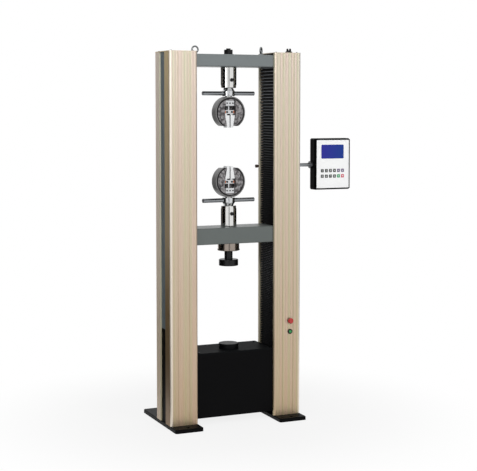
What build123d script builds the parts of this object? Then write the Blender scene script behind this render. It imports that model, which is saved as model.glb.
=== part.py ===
from build123d import *
import os
from math import acos, atan2, cos, degrees, radians, sin, sqrt, tan

os.makedirs("parts", exist_ok=True)

# The machine stands on z = 0, x = 0 is the plane between its two columns, and -y is the front.
# y = 0 is half way along the feet, so the origin is the middle of the four anchor holes.

# Fits that many pieces share
running_clearance = 0.05
seat_gap = 0.3
panel_gap = 0.4
cut_overrun = 5.0

# Columns, each a front and a rear aluminium profile with a steel strip between them
clear_width = 450.0
column_width = 160.0
profile_height = 1996.0
front_profile_depth = 75.0
strip_window = 78.0
rear_profile_depth = 70.0
front_lip = 15.0
rear_lip = 20.0
profile_wall = 8.0
outer_corner_radius = 13.0
inner_corner_radius = 5.0
flute_count = 8
flute_width = 9.0
flute_depth = 0.9
line_groove_width = 2.6
line_groove_depth = 1.8
line_groove_shares = (0.31, 0.71)
strip_thickness = 4.0
strip_lap = 10.0
lower_strip_height = 510.0
cap_thickness = 4.0

# Feet
foot_length = 520.0
foot_width = 160.0
foot_thickness = 20.0
foot_corner = 12.0
foot_edge = 3.0
front_toe = 81.0
anchor_inset = 30.0
anchor_radius = 9.0

# Crossheads
crosshead_setback = 18.0
crosshead_depth = 168.0
load_setback = 113.0
crosshead_reach = 370.0
crosshead_edge = 7.0
moving_bottom = 985.0
moving_height = 89.0
top_drop = 10.0
top_height = 66.0
stud_radius = 12.0
stud_play = 1.0
stud_end = 12.0

# Ball screws, guide columns and what runs on them
screw_x = 270.0
screw_radius = 16.0
guide_x = 336.0
guide_radius = 18.0
guide_socket = 40.0
nut_radius = 26.0
nut_flange_radius = 36.0
nut_flange_thickness = 14.0
bush_radius = 26.0
lower_journal_radius = 12.5
upper_journal_radius = 10.0
bearing_radius = 26.0
bearing_width = 16.0
top_bearing_radius = 23.5
top_bearing_width = 14.0
journal_hole_play = 3.0

# Base
base_top = 397.0
base_bottom = 43.0
base_front_setback = 20.0
base_rear = 76.0
base_plate_thickness = 8.0
base_plate_edge = 2.5
beam_height = 60.0
beam_setback = 24.0
beam_gap = 1.5
sheet_thickness = 2.0
cover_flange = 28.0
louvre_rows = 7
louvre_columns = 2
louvre_length = 120.0
louvre_height = 5.0
louvre_pitch = 18.0
louvre_spacing = 180.0
pedestal_web = 19.0
pedestal_flange = 12.0
pedestal_width = 129.0

# Drive
belt_width = 20.0
belt_thickness = 3.0
pulley_rim = 3.0
pulley_flange_height = 5.0
screw_pulley_radius = 51.0
drive_pulley_radius = 25.5
belt_level_gap = 6.0
drive_shaft_radius = 9.5
drive_x = -50.0
bracket_half_length = 60.0
bracket_plate = 12.0
bracket_wall = 8.0
bracket_half_width = 48.0
gearbox_side = 88.0
gearbox_height = 58.0
gearbox_pilot_radius = 30.0
gearbox_pilot_height = 5.0
motor_side = 80.0
motor_flange = 10.0
motor_body_radius = 38.0
motor_body_height = 70.0
encoder_height = 24.0
encoder_radius = 30.0
output_shaft_depth = 40.0

# Bellows that cover the screws
bellows_gap = 4.0
bellows_width = 82.0
bellows_depth = 173.0
bellows_bore = 24.0
pleat_pitch = 13.5
pleat_depth = 9.0
bellows_collar = 4.0

# Load cell and platens
load_cell_radius = 62.0
load_cell_height = 45.0
load_cell_rim = 3.0
load_cell_rim_height = 8.0
platen_stem_radius = 22.5
platen_stem_height = 48.0
upper_platen_radius = 53.0
upper_platen_height = 35.0
lower_platen_radius = 54.5
lower_platen_height = 30.0
platen_edge = 5.0
platen_lip = 1.5

# Grip adapter: sleeve, cross pin and shank
sleeve_radius = 44.0
sleeve_height = 98.0
sleeve_ring_radius = 42.0
sleeve_ring_height = 15.0
sleeve_end_wall = 14.0
sleeve_edge = 2.5
shank_radius = 25.0
neck_radius = 18.5
cross_pin_height = 70.0
cross_pin_radius = 10.0
cross_pin_proud = 6.0
cross_pin_dimple_radius = 4.5
cross_pin_dimple_depth = 2.5

# Grip collar and its two handles
collar_foot_radius = 25.5
collar_radius = 35.0
collar_cone_height = 17.0
collar_height = 43.5
collar_edge = 2.0
handle_radius = 11.5
handle_reach = 153.0
handle_height = 142.0
handle_edge = 2.0
key_cavity_radius = 23.0
key_cavity_floor = 4.0
key_cavity_height = 36.0
key_width = 9.0
key_height = 4.0
key_rest_height = 139.3

# Grip body, wedge jaws and draw bar
body_gap = 3.2
body_radius = 87.5
body_depth = 58.0
body_foot = 85.0
body_brow = 74.0
ring_groove_radius = 77.0
ring_groove_width = 4.5
ring_groove_depth = 9.0
body_edge = 2.5
body_back_wall = 5.5
wedge_degrees = 10.0
wedge_gap = 0.1
jaw_open_travel = 19.0
jaw_tip_half_width = 18.5
jaw_tip_height = 83.0
jaw_foot_height = 16.0
jaw_rest_gap = 6.0
jaw_depth = 46.0
rail_width = 8.0
rail_depth = 3.0
chamber_top = -7.0
guide_block_width = 54.0
guide_block_height = 32.0
guide_block_depth = 44.0
guide_block_foot = -66.0
guide_block_edge = 2.0
stem_radius = 7.0
stem_foot_height = 113.0
bar_half_width = 27.0
bar_low = -12.0
bar_high = 8.0
bar_depth = 30.0
tee_slot_width = 9.0
tee_head_width = 17.0
tee_head_height = 6.0
tee_roof = 4.0
tee_foot_start = 7.0
tee_foot_length = 14.0

# On top of the machine
eye_bolt_x = 195.0
eye_ring_radius = 17.0
eye_wire_radius = 4.5
eye_ring_lift = 5.0
eye_collar_radius = 15.0
eye_collar_height = 9.0
eye_shank_radius = 6.0
eye_shank_length = 20.0
eye_collar_taper = 25.0
left_eye_turn = 0.0
right_eye_turn = 50.0
draw_washer_radius = 30.0
draw_washer_height = 4.0
draw_nut_across_flats = 44.0
draw_nut_height = 24.0
draw_stud_rise = 35.0
gland_x = 331.0
gland_setback = 45.0
gland_flange_radius = 19.0
gland_flange_height = 7.0
gland_neck_radius = 14.0
gland_height = 23.0
gland_crown_radius = 12.0
gland_bore = 7.0
gland_notch_count = 6
gland_notch_width = 6.0
gland_notch_depth = 9.0

# Buttons on the right column
button_x = 321.0
stop_button_z = 545.0
start_button_z = 485.0
button_hole_radius = 11.0
bezel_radius = 14.0
bezel_height = 3.5
button_block_side = 26.0
button_block_depth = 16.0
stop_head_radius = 15.5
stop_head_height = 11.0
stop_stem_radius = 8.0
button_travel = 4.0
start_cap_proud = 4.5
button_edge = 1.2

# Limit stop knob on the right column
limit_z = 1394.0
limit_setback = 213.0
limit_knob_radius = 9.0
limit_knob_length = 12.0
limit_stem_radius = 4.0
limit_collar_radius = 7.0
limit_collar_length = 5.0

# Console and its arm
console_left = 505.0
console_width = 223.0
console_bottom = 1261.0
console_height = 288.0
console_setback = 60.0
console_depth = 67.0
console_wall = 2.5
console_corner = 9.0
console_edge = 5.0
bezel_depth = 14.0
bezel_taper = 4.0
bezel_lap = 2.0
panel_border = 9.0
panel_thickness = 2.0
panel_corner = 3.0
screen_width = 141.0
screen_height = 78.0
screen_drop = 26.5
screen_offset = -2.0
screen_corner = 6.0
screen_thickness = 1.2
key_side = 18.0
key_pitch = 25.6
key_columns = 6
key_row_gap = 31.0
key_first_drop = 172.0
key_proud = 1.0
key_corner = 2.0
arm_setback = 108.0
arm_z = 1401.0
arm_radius = 10.0
arm_bore = 7.5
hinge_x = 404.0
hinge_pin_radius = 5.0
hinge_eye_radius = 12.0
hinge_eye_height = 24.0
hinge_fork_wall = 7.0
hinge_plate_thickness = 6.0
hinge_plate_side = 52.0
arm_flange_radius = 20.0
arm_flange_length = 12.0
swivel_radius = 13.0
swivel_reach = 14.0

# Mains gland on the rear cover
mains_x = 150.0
mains_z = 90.0
mains_flange_radius = 14.0
mains_nose_radius = 10.0
mains_flange_height = 7.0
mains_nose_height = 12.0
mains_bore = 5.0

# Places worked out from the sizes above
inner_face = clear_width / 2
column_center = inner_face + column_width / 2
outer_face = inner_face + column_width
column_depth = front_profile_depth + strip_window + rear_profile_depth
front_plane = front_toe - foot_length / 2
rear_plane = front_plane + column_depth
column_foot = foot_thickness
column_top = column_foot + profile_height
rear_lip_edge = rear_plane - rear_lip
crosshead_front = front_plane + crosshead_setback
load_y = front_plane + load_setback
moving_top = moving_bottom + moving_height
top_top = column_top - top_drop
top_bottom = top_top - top_height
beam_top = base_top - base_plate_thickness
beam_bottom = beam_top - beam_height
beam_front = front_plane + beam_setback
beam_rear = rear_lip_edge - beam_gap
base_front = front_plane + base_front_setback
base_half_width = inner_face - panel_gap
strip_outer = outer_face - profile_wall
strip_inner = strip_outer - strip_thickness
wedge = radians(wedge_degrees)
eye_center_height = eye_ring_radius + eye_wire_radius + eye_ring_lift
key_reach = sqrt((key_cavity_radius - seat_gap) ** 2 - key_width**2 / 4)
screw_places = ((-screw_x, load_y), (screw_x, load_y))
guide_places = ((-guide_x, load_y), (guide_x, load_y))
pulley_height = belt_width + 2 * panel_gap + 2 * pulley_rim
upper_pulley_low = beam_bottom - belt_level_gap - pulley_height
lower_pulley_low = upper_pulley_low - belt_level_gap - pulley_height
bracket_low = lower_pulley_low - belt_level_gap - bracket_plate
screw_foot = lower_pulley_low
screw_head = top_bottom + guide_socket - seat_gap
upper_platen_low = moving_bottom - load_cell_height - platen_stem_height - upper_platen_height
stem_low = upper_platen_low + upper_platen_height
collar_seat = sleeve_height + sleeve_ring_height
body_center_height = collar_seat + seat_gap + collar_height + body_gap + body_foot
shank_head = body_center_height + guide_block_foot
guide_block_top = guide_block_foot + guide_block_height
handle_root = key_cavity_radius + handle_edge
limit_y = front_plane + limit_setback
gland_y = front_plane + gland_setback
console_front = front_plane + console_setback
console_x = console_left + console_width / 2
console_z = console_bottom + console_height / 2
arm_y = front_plane + arm_setback
panel_back = console_front + panel_thickness + bezel_lap
panel_face = panel_back - panel_thickness


def save(piece, label):
    """Name a finished piece and write it as its own STEP file."""
    piece.part.label = label
    export_step(piece.part, f"parts/{label}.step")


def save_set(pieces, label):
    """Write pieces that stay separate solids on one body as one STEP file."""
    group = Compound(label=label, children=[piece.part for piece in pieces])
    export_step(group, f"parts/{label}.step")


def level(z, x=0, y=0):
    """A horizontal sketch plane at height z, centred at x, y."""
    return Plane(origin=(x, y, z))


def front_view(y, x=0, z=0):
    """A vertical sketch plane that faces the front, with x to the right and z up."""
    return Plane(origin=(x, y, z), x_dir=(1, 0, 0), z_dir=(0, -1, 0))


def side_view(x, y=0, z=0):
    """A vertical sketch plane that faces the right, with y across the page and z up."""
    return Plane(origin=(x, y, z), x_dir=(0, 1, 0), z_dir=(1, 0, 0))


def turned(points, x=0, y=0):
    """A solid of revolution about the vertical line at x, y from (radius, height) points."""
    with BuildPart() as solid:
        with BuildSketch(front_view(y, x)):
            with BuildLine():
                Polyline(*points, close=True)
            make_face()
        revolve(axis=Axis((x, y, 0), (0, 0, 1)))
    return solid


def turned_towards(direction, points, x, y, z):
    """A solid of revolution about a horizontal line from (radius, distance) points."""
    up = Vector(0, 0, 1)
    with BuildPart() as solid:
        with BuildSketch(Plane(origin=(x, y, z), x_dir=up, z_dir=up.cross(Vector(*direction)))):
            with BuildLine():
                Polyline(*points, close=True)
            make_face()
        revolve(axis=Axis((x, y, z), direction))
    return solid


# Feet
def foot(side):
    with BuildPart() as plate:
        with BuildSketch(level(0, side * column_center)):
            RectangleRounded(foot_width, foot_length, foot_corner)
        extrude(amount=foot_thickness)
        chamfer(plate.faces().sort_by(Axis.Z)[-1].edges(), foot_edge)
        with BuildSketch(level(foot_thickness, side * column_center)):
            with GridLocations(0, foot_length - 2 * anchor_inset, 1, 2):
                Circle(anchor_radius)
        extrude(amount=-foot_thickness, mode=Mode.SUBTRACT)
    return plate


# Column profiles, drawn from the inner face outwards and from the front plane backwards
def flute(side, x, face_y, outward, width, depth):
    """A shallow round-bottomed flute in a face that looks along outward * y."""
    radius = (width**2 / 4 + depth**2) / (2 * depth)
    with Locations((side * (inner_face + x), face_y + outward * (radius - depth))):
        Circle(radius, mode=Mode.SUBTRACT)


def fluted_face(side, face_y, outward):
    pitch = (column_width - 2 * outer_corner_radius) / flute_count
    for number in range(flute_count):
        x = outer_corner_radius + (number + 1 / 2) * pitch
        flute(side, x, face_y, outward, flute_width, flute_depth)
    for share in line_groove_shares:
        x = share * column_width
        with Locations((side * (inner_face + x), face_y)):
            Rectangle(line_groove_width, 2 * line_groove_depth, mode=Mode.SUBTRACT)


def front_profile(side):
    near, far = side * inner_face, side * outer_face
    near_wall, far_wall = side * (inner_face + profile_wall), side * strip_outer
    lip_end = front_plane + front_lip
    flange_end = front_plane + front_profile_depth
    plate_back = front_plane + profile_wall
    with BuildPart() as profile:
        with BuildSketch(level(column_foot)) as outline:
            with BuildLine():
                Polyline(
                    (near, lip_end), (near, front_plane), (far, front_plane), (far, flange_end),
                    (far_wall, flange_end), (far_wall, plate_back), (near_wall, plate_back),
                    (near_wall, lip_end), close=True,
                )
            make_face()
            front_corners = outline.vertices().group_by(Axis.Y)[0]
            fillet(front_corners, outer_corner_radius)
            back_corner = outline.vertices().sort_by_distance((far_wall, plate_back))[0]
            fillet(back_corner, inner_corner_radius)
            fluted_face(side, front_plane, -1)
        extrude(amount=profile_height)
        if side > 0:
            for z in (stop_button_z, start_button_z):
                with BuildSketch(front_view(front_plane, button_x, z)):
                    Circle(button_hole_radius)
                extrude(amount=-profile_wall, mode=Mode.SUBTRACT)
    return profile


def rear_profile(side):
    near, far = side * inner_face, side * outer_face
    near_wall, far_wall = side * (inner_face + profile_wall), side * strip_outer
    flange_start = rear_plane - rear_profile_depth
    plate_front = rear_plane - profile_wall
    with BuildPart() as profile:
        with BuildSketch(level(column_foot)) as outline:
            with BuildLine():
                Polyline(
                    (near, rear_lip_edge), (near, rear_plane), (far, rear_plane), (far, flange_start),
                    (far_wall, flange_start), (far_wall, plate_front), (near_wall, plate_front),
                    (near_wall, rear_lip_edge), close=True,
                )
            make_face()
            rear_corners = outline.vertices().group_by(Axis.Y)[-1]
            fillet(rear_corners, outer_corner_radius)
            inside_corners = (
                outline.vertices().sort_by_distance((far_wall, plate_front))[0],
                outline.vertices().sort_by_distance((near_wall, plate_front))[0],
            )
            fillet(inside_corners, inner_corner_radius)
            fluted_face(side, rear_plane, 1)
        extrude(amount=profile_height)
        if side > 0:
            with BuildSketch(side_view(inner_face, limit_y, limit_z)):
                Circle(limit_stem_radius + running_clearance)
            extrude(amount=profile_wall, mode=Mode.SUBTRACT)
    return profile


def strip_pair(low, high):
    """The flat steel strips that close the outer sides, seated behind both profiles' flanges."""
    start = front_plane + front_profile_depth - strip_lap
    end = rear_plane - rear_profile_depth + strip_lap
    with BuildPart() as strips:
        for side in (-1, 1):
            center = (side * (strip_inner + strip_thickness / 2), (start + end) / 2)
            with BuildSketch(level(low)):
                with Locations(center):
                    Rectangle(strip_thickness, end - start)
            extrude(amount=high - low)
    return strips


def column_caps():
    with BuildPart() as caps:
        for side in (-1, 1):
            with BuildSketch(level(column_top, side * column_center, (front_plane + rear_plane) / 2)):
                RectangleRounded(column_width, column_depth, outer_corner_radius)
            extrude(amount=cap_thickness)
        with BuildSketch(level(column_top, gland_x, gland_y)):
            Circle(gland_bore)
        extrude(amount=cap_thickness, mode=Mode.SUBTRACT)
    return caps


# Crossheads
def beam_block(low, height, front, depth, reach, edge):
    """A machined beam along x with broken long edges."""
    with BuildPart() as block:
        with BuildSketch(side_view(-reach, front + depth / 2, low + height / 2)):
            RectangleRounded(depth, height, edge)
        extrude(amount=2 * reach)
    return block


def moving_crosshead():
    with BuildPart() as beam:
        add(beam_block(
            moving_bottom, moving_height, crosshead_front, crosshead_depth, crosshead_reach, crosshead_edge
        ).part)
        with BuildSketch(level(moving_bottom, 0, load_y)):
            Circle(stud_radius + stud_play)
            with Locations((-screw_x, 0), (screw_x, 0)):
                Circle(nut_radius + running_clearance)
            with Locations((-guide_x, 0), (guide_x, 0)):
                Circle(bush_radius + running_clearance)
        extrude(amount=moving_height, mode=Mode.SUBTRACT)
        with BuildSketch(level(moving_bottom, 0, load_y)):
            with Locations((-screw_x, 0), (screw_x, 0)):
                Circle(nut_flange_radius + running_clearance)
        extrude(amount=nut_flange_thickness, mode=Mode.SUBTRACT)
    return beam


def top_crosshead():
    with BuildPart() as beam:
        add(beam_block(
            top_bottom, top_height, crosshead_front, crosshead_depth, crosshead_reach, crosshead_edge
        ).part)
        with BuildSketch(level(top_bottom, 0, load_y)):
            Circle(stud_radius + stud_play)
        extrude(amount=top_height, mode=Mode.SUBTRACT)
        with BuildSketch(level(top_bottom, 0, load_y)):
            with Locations((-screw_x, 0), (screw_x, 0)):
                Circle(top_bearing_radius + running_clearance)
        extrude(amount=top_bearing_width, mode=Mode.SUBTRACT)
        with BuildSketch(level(top_bottom, 0, load_y)):
            with Locations((-screw_x, 0), (screw_x, 0)):
                Circle(upper_journal_radius + journal_hole_play)
            with Locations((-guide_x, 0), (guide_x, 0)):
                Circle(guide_radius + running_clearance)
        extrude(amount=guide_socket, mode=Mode.SUBTRACT)
        with BuildSketch(level(top_top, 0, load_y)):
            with Locations((-eye_bolt_x, 0), (eye_bolt_x, 0)):
                Circle(eye_shank_radius + running_clearance)
        extrude(amount=-eye_shank_length, mode=Mode.SUBTRACT)
    return beam


def ball_nuts():
    with BuildPart() as nuts:
        for side in (-1, 1):
            with BuildSketch(level(moving_bottom, side * screw_x, load_y)):
                Circle(nut_flange_radius)
                Circle(screw_radius + running_clearance, mode=Mode.SUBTRACT)
            extrude(amount=nut_flange_thickness)
            with BuildSketch(level(moving_bottom, side * screw_x, load_y)):
                Circle(nut_radius)
                Circle(screw_radius + running_clearance, mode=Mode.SUBTRACT)
            extrude(amount=moving_height)
    return nuts


def rings(positions, low, height, outer, inner):
    """Plain rings, one at each x, y position."""
    with BuildPart() as group:
        with BuildSketch(level(low)):
            with Locations(*positions):
                Circle(outer)
                Circle(inner, mode=Mode.SUBTRACT)
        extrude(amount=height)
    return group


# Ball screws and guide columns
def ball_screw(side):
    x = side * screw_x
    return turned(
        (
            (0, screw_foot), (drive_shaft_radius, screw_foot), (drive_shaft_radius, beam_bottom),
            (lower_journal_radius, beam_bottom), (lower_journal_radius, beam_top + seat_gap),
            (screw_radius, beam_top + seat_gap), (screw_radius, top_bottom - seat_gap),
            (upper_journal_radius, top_bottom - seat_gap), (upper_journal_radius, screw_head),
            (0, screw_head),
        ),
        x, load_y,
    )


def guide_columns():
    with BuildPart() as rods:
        with BuildSketch(level(beam_top - guide_socket)):
            with Locations((-guide_x, load_y), (guide_x, load_y)):
                Circle(guide_radius)
        extrude(amount=top_bottom + guide_socket - beam_top + guide_socket)
    return rods


# Base
def base_beam():
    with BuildPart() as beam:
        add(beam_block(
            beam_bottom, beam_height, beam_front, beam_rear - beam_front, crosshead_reach, base_plate_edge
        ).part)
        with BuildSketch(level(beam_bottom, 0, load_y)):
            with Locations((-screw_x, 0), (screw_x, 0)):
                Circle(lower_journal_radius + journal_hole_play)
        extrude(amount=beam_height, mode=Mode.SUBTRACT)
        with BuildSketch(level(beam_top, 0, load_y)):
            with Locations((-screw_x, 0), (screw_x, 0)):
                Circle(bearing_radius + running_clearance)
        extrude(amount=-bearing_width, mode=Mode.SUBTRACT)
        with BuildSketch(level(beam_top, 0, load_y)):
            with Locations((-guide_x, 0), (guide_x, 0)):
                Circle(guide_radius + running_clearance)
        extrude(amount=-guide_socket, mode=Mode.SUBTRACT)
    return beam


def base_pedestals():
    """Channels inside the columns that carry the beam on the feet, open towards the middle."""
    depth = beam_rear - beam_front
    middle = (beam_front + beam_rear) / 2
    with BuildPart() as pair:
        for side in (-1, 1):
            center = side * (crosshead_reach - pedestal_width / 2)
            with BuildSketch(level(column_foot, center, middle)):
                Rectangle(pedestal_width, depth)
                with Locations((-side * pedestal_web, 0)):
                    Rectangle(pedestal_width, depth - 2 * pedestal_flange, mode=Mode.SUBTRACT)
            extrude(amount=beam_bottom - column_foot)
    return pair


def base_top_plate():
    middle = (base_front + base_rear) / 2
    with BuildPart() as plate:
        with BuildSketch(level(beam_top, 0, middle)):
            Rectangle(2 * base_half_width, base_rear - base_front)
        extrude(amount=base_plate_thickness)
        front_edge = plate.faces().sort_by(Axis.Y)[0].edges().sort_by(Axis.Z)[-1]
        fillet(front_edge, base_plate_edge)
    return plate


def base_cover(face_y, inward, bottom):
    """A folded sheet: a face, a flange along its foot and one up each side."""
    height = beam_top - bottom
    with BuildPart() as cover:
        with BuildSketch(level(bottom, 0, face_y + inward * cover_flange / 2)):
            Rectangle(2 * base_half_width, cover_flange)
        extrude(amount=height)
        inner = face_y + inward * (sheet_thickness + cover_flange / 2)
        with BuildSketch(level(bottom + sheet_thickness, 0, inner)):
            Rectangle(2 * (base_half_width - sheet_thickness), cover_flange)
        extrude(amount=height, mode=Mode.SUBTRACT)
    return cover


def base_front_cover():
    """The front sheet, whose lower flange runs back as the floor of the housing."""
    with BuildPart() as cover:
        add(base_cover(base_front, 1, base_bottom).part)
        with BuildSketch(level(base_bottom, 0, (base_front + base_rear) / 2)):
            Rectangle(2 * base_half_width, base_rear - base_front)
        extrude(amount=sheet_thickness)
        behind = base_front + sheet_thickness + cover_flange / 2
        with BuildSketch(level(beam_bottom - seat_gap, 0, behind)):
            Rectangle(2 * inner_face, cover_flange)
        extrude(amount=beam_height + seat_gap, mode=Mode.SUBTRACT)
    return cover


def base_rear_cover():
    bottom = base_bottom + sheet_thickness
    height = beam_top - bottom
    with BuildPart() as cover:
        add(base_cover(base_rear, -1, bottom).part)
        with BuildSketch(front_view(base_rear, 0, bottom + height / 2)):
            with GridLocations(louvre_spacing, louvre_pitch, louvre_columns, louvre_rows):
                SlotOverall(louvre_length, louvre_height)
        extrude(amount=sheet_thickness, mode=Mode.SUBTRACT)
        with BuildSketch(front_view(base_rear, mains_x, mains_z)):
            Circle(mains_nose_radius)
        extrude(amount=sheet_thickness, mode=Mode.SUBTRACT)
    return cover


def mains_gland():
    with BuildPart() as gland:
        with BuildSketch(front_view(base_rear, mains_x, mains_z)):
            Circle(mains_flange_radius)
            Circle(mains_bore, mode=Mode.SUBTRACT)
        extrude(amount=-mains_flange_height)
        with BuildSketch(front_view(base_rear + mains_flange_height, mains_x, mains_z)):
            Circle(mains_nose_radius)
            Circle(mains_bore, mode=Mode.SUBTRACT)
        extrude(amount=-mains_nose_height)
    return gland


# Drive: motor, gearbox, pulleys and toothed belts
def pulley(x, low, core):
    """A flanged belt pulley bored for its shaft."""
    bore = drive_shaft_radius + running_clearance
    flange = core + pulley_flange_height
    high = low + pulley_height
    return turned(
        (
            (bore, low), (flange, low), (flange, low + pulley_rim), (core, low + pulley_rim),
            (core, high - pulley_rim), (flange, high - pulley_rim), (flange, high), (bore, high),
        ),
        x, load_y,
    )


def belt(left_x, left_core, right_x, right_core, pulley_low):
    """A loop stretched round two pulleys: an outer outline less an inner one."""
    spread = acos((left_core - right_core) / (right_x - left_x))
    with BuildPart() as loop:
        with BuildSketch(level(pulley_low + pulley_rim + panel_gap, 0, load_y)):
            for gap, mode in ((seat_gap + belt_thickness, Mode.ADD), (seat_gap, Mode.SUBTRACT)):
                left_radius, right_radius = left_core + gap, right_core + gap
                left_touch = (left_x + left_radius * cos(spread), left_radius * sin(spread))
                right_touch = (right_x + right_radius * cos(spread), right_radius * sin(spread))
                left_under = (left_touch[0], -left_touch[1])
                right_under = (right_touch[0], -right_touch[1])
                with BuildLine():
                    ThreePointArc(left_touch, (left_x - left_radius, 0), left_under)
                    Line(left_under, right_under)
                    ThreePointArc(right_under, (right_x + right_radius, 0), right_touch)
                    Line(right_touch, left_touch)
                make_face(mode=mode)
        extrude(amount=belt_width)
    return loop


def motor_bracket():
    with BuildPart() as bracket:
        with BuildSketch(level(bracket_low, drive_x, load_y)):
            Rectangle(2 * bracket_half_length, 2 * bracket_half_width)
        extrude(amount=beam_bottom - bracket_low)
        with BuildSketch(level(bracket_low + bracket_plate, drive_x, load_y)):
            Rectangle(2 * bracket_half_length, 2 * (bracket_half_width - bracket_wall))
        extrude(amount=beam_bottom - bracket_low, mode=Mode.SUBTRACT)
        with BuildSketch(level(bracket_low, drive_x, load_y)):
            Circle(gearbox_pilot_radius + running_clearance)
        extrude(amount=bracket_plate, mode=Mode.SUBTRACT)
    return bracket


def gearbox():
    with BuildPart() as box:
        with BuildSketch(level(bracket_low - gearbox_height, drive_x, load_y)):
            RectangleRounded(gearbox_side, gearbox_side, outer_corner_radius)
        extrude(amount=gearbox_height)
        with BuildSketch(level(bracket_low, drive_x, load_y)):
            Circle(gearbox_pilot_radius)
        extrude(amount=gearbox_pilot_height)
        with BuildSketch(level(bracket_low + gearbox_pilot_height, drive_x, load_y)):
            Circle(drive_shaft_radius + running_clearance)
        extrude(amount=-output_shaft_depth, mode=Mode.SUBTRACT)
    return box


def drive_motor():
    flange_low = bracket_low - gearbox_height - motor_flange
    body_low = flange_low - motor_body_height
    with BuildPart() as motor:
        with BuildSketch(level(flange_low, drive_x, load_y)):
            RectangleRounded(motor_side, motor_side, inner_corner_radius)
        extrude(amount=motor_flange)
        with BuildSketch(level(body_low, drive_x, load_y)):
            Circle(motor_body_radius)
        extrude(amount=motor_body_height)
        with BuildSketch(level(body_low - encoder_height, drive_x, load_y)):
            Circle(encoder_radius)
        extrude(amount=encoder_height)
        encoder_rim = motor.edges().filter_by(GeomType.CIRCLE).sort_by(Axis.Z)[0]
        chamfer(encoder_rim, foot_edge)
    return motor


def output_shaft():
    low = bracket_low + gearbox_pilot_height - output_shaft_depth + seat_gap
    with BuildPart() as shaft:
        with BuildSketch(level(low, drive_x, load_y)):
            Circle(drive_shaft_radius)
        extrude(amount=lower_pulley_low + pulley_height - low)
    return shaft


# Bellows
def pleated_outline(half, low, high):
    """(across, height) points of a concertina with a plain collar at both ends."""
    folded = high - low - 2 * bellows_collar
    count = round(folded / pleat_pitch)
    pitch = folded / count
    right = [(half, low), (half, low + bellows_collar)]
    for number in range(count):
        valley = low + bellows_collar + (number + 1 / 2) * pitch
        right += [(half - pleat_depth, valley), (half, valley + pitch / 2)]
    right.append((half, high))
    return right + [(-across, height) for across, height in reversed(right)]


def bellows(side, low, high):
    center_x = side * (inner_face + bellows_gap + bellows_width / 2)
    center_y = rear_lip_edge - bellows_gap - bellows_depth / 2
    with BuildPart() as cover:
        with BuildSketch(front_view(center_y, center_x)):
            with BuildLine():
                Polyline(*pleated_outline(bellows_width / 2, low, high), close=True)
            make_face()
        extrude(amount=bellows_depth / 2, both=True)
        with BuildSketch(side_view(center_x, center_y)):
            with BuildLine():
                Polyline(*pleated_outline(bellows_depth / 2, low, high), close=True)
            make_face()
        extrude(amount=bellows_width / 2, both=True, mode=Mode.INTERSECT)
        with BuildSketch(level(low, side * screw_x, load_y)):
            Circle(bellows_bore)
        extrude(amount=high - low, mode=Mode.SUBTRACT)
    return cover


# Load cell and platens
def load_cell():
    high = moving_bottom
    low = high - load_cell_height
    waist = load_cell_radius - load_cell_rim
    return turned(
        (
            (0, low), (waist, low), (load_cell_radius, low + load_cell_rim),
            (load_cell_radius, low + load_cell_rim_height), (waist, low + load_cell_rim_height),
            (waist, high), (stud_radius + running_clearance, high),
            (stud_radius + running_clearance, high - stud_end), (0, high - stud_end),
        ),
        0, load_y,
    )


def platen_stem():
    low = stem_low
    high = low + platen_stem_height
    return turned(((0, low), (platen_stem_radius, low), (platen_stem_radius, high), (0, high)), 0, load_y)


def platen(low, height, radius, face_up):
    """A hardened disc whose working edge is slightly broken and whose back edge is rounded off."""
    with BuildPart() as disc:
        with BuildSketch(level(low, 0, load_y)):
            Circle(radius)
        extrude(amount=height)
        rims = disc.edges().filter_by(GeomType.CIRCLE).sort_by(Axis.Z)
        working, back = (rims[-1], rims[0]) if face_up else (rims[0], rims[-1])
        chamfer(working, platen_lip)
        if not face_up:
            fillet(back, platen_edge)
    return disc


# Wedge grips: up is 1 for the lower grip on the moving crosshead and -1 for the upper one
def wedge_half_width(height):
    """Half the distance between the outer faces of the jaws at a height above the body's centre."""
    return jaw_tip_half_width + (jaw_tip_height - height) * tan(wedge)


def wedge_wall(height):
    """Half the width of the opening that the jaws slide in."""
    return wedge_half_width(height) + wedge_gap


def grip_turned(points, seat_z, up):
    return turned([(radius, seat_z + up * height) for radius, height in points], 0, load_y)


def sleeve(seat_z, up):
    """The adapter's sleeve, which ends in a spigot through the crosshead below and in a bore above."""
    bore = shank_radius + running_clearance
    stud = stud_radius + running_clearance
    with BuildPart() as piece:
        add(grip_turned(
            (
                (stud, 0), (sleeve_radius - sleeve_edge, 0), (sleeve_radius, sleeve_edge),
                (sleeve_radius, sleeve_height), (sleeve_ring_radius, sleeve_height),
                (sleeve_ring_radius, collar_seat - sleeve_edge),
                (sleeve_ring_radius - sleeve_edge, collar_seat), (bore, collar_seat),
                (bore, sleeve_end_wall), (stud, sleeve_end_wall),
            ),
            seat_z, up,
        ).part)
        if up > 0:
            with BuildSketch(level(moving_bottom - stud_end + seat_gap, 0, load_y)):
                Circle(stud_radius)
            extrude(amount=moving_height + stud_end - seat_gap)
            with BuildSketch(level(seat_z, 0, load_y)):
                Circle(sleeve_radius / 2)
            extrude(amount=sleeve_end_wall)
        with BuildSketch(front_view(load_y, 0, seat_z + up * cross_pin_height)):
            Circle(cross_pin_radius + running_clearance)
        extrude(amount=sleeve_radius + cut_overrun, both=True, mode=Mode.SUBTRACT)
    return piece


def cross_pin(seat_z, up):
    head = sleeve_radius + cross_pin_proud
    return turned_towards(
        (0, -1, 0),
        (
            (0, -sleeve_radius), (cross_pin_radius, -sleeve_radius), (cross_pin_radius, head),
            (cross_pin_dimple_radius, head), (0, head - cross_pin_dimple_depth),
        ),
        0, load_y, seat_z + up * cross_pin_height,
    )


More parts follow.
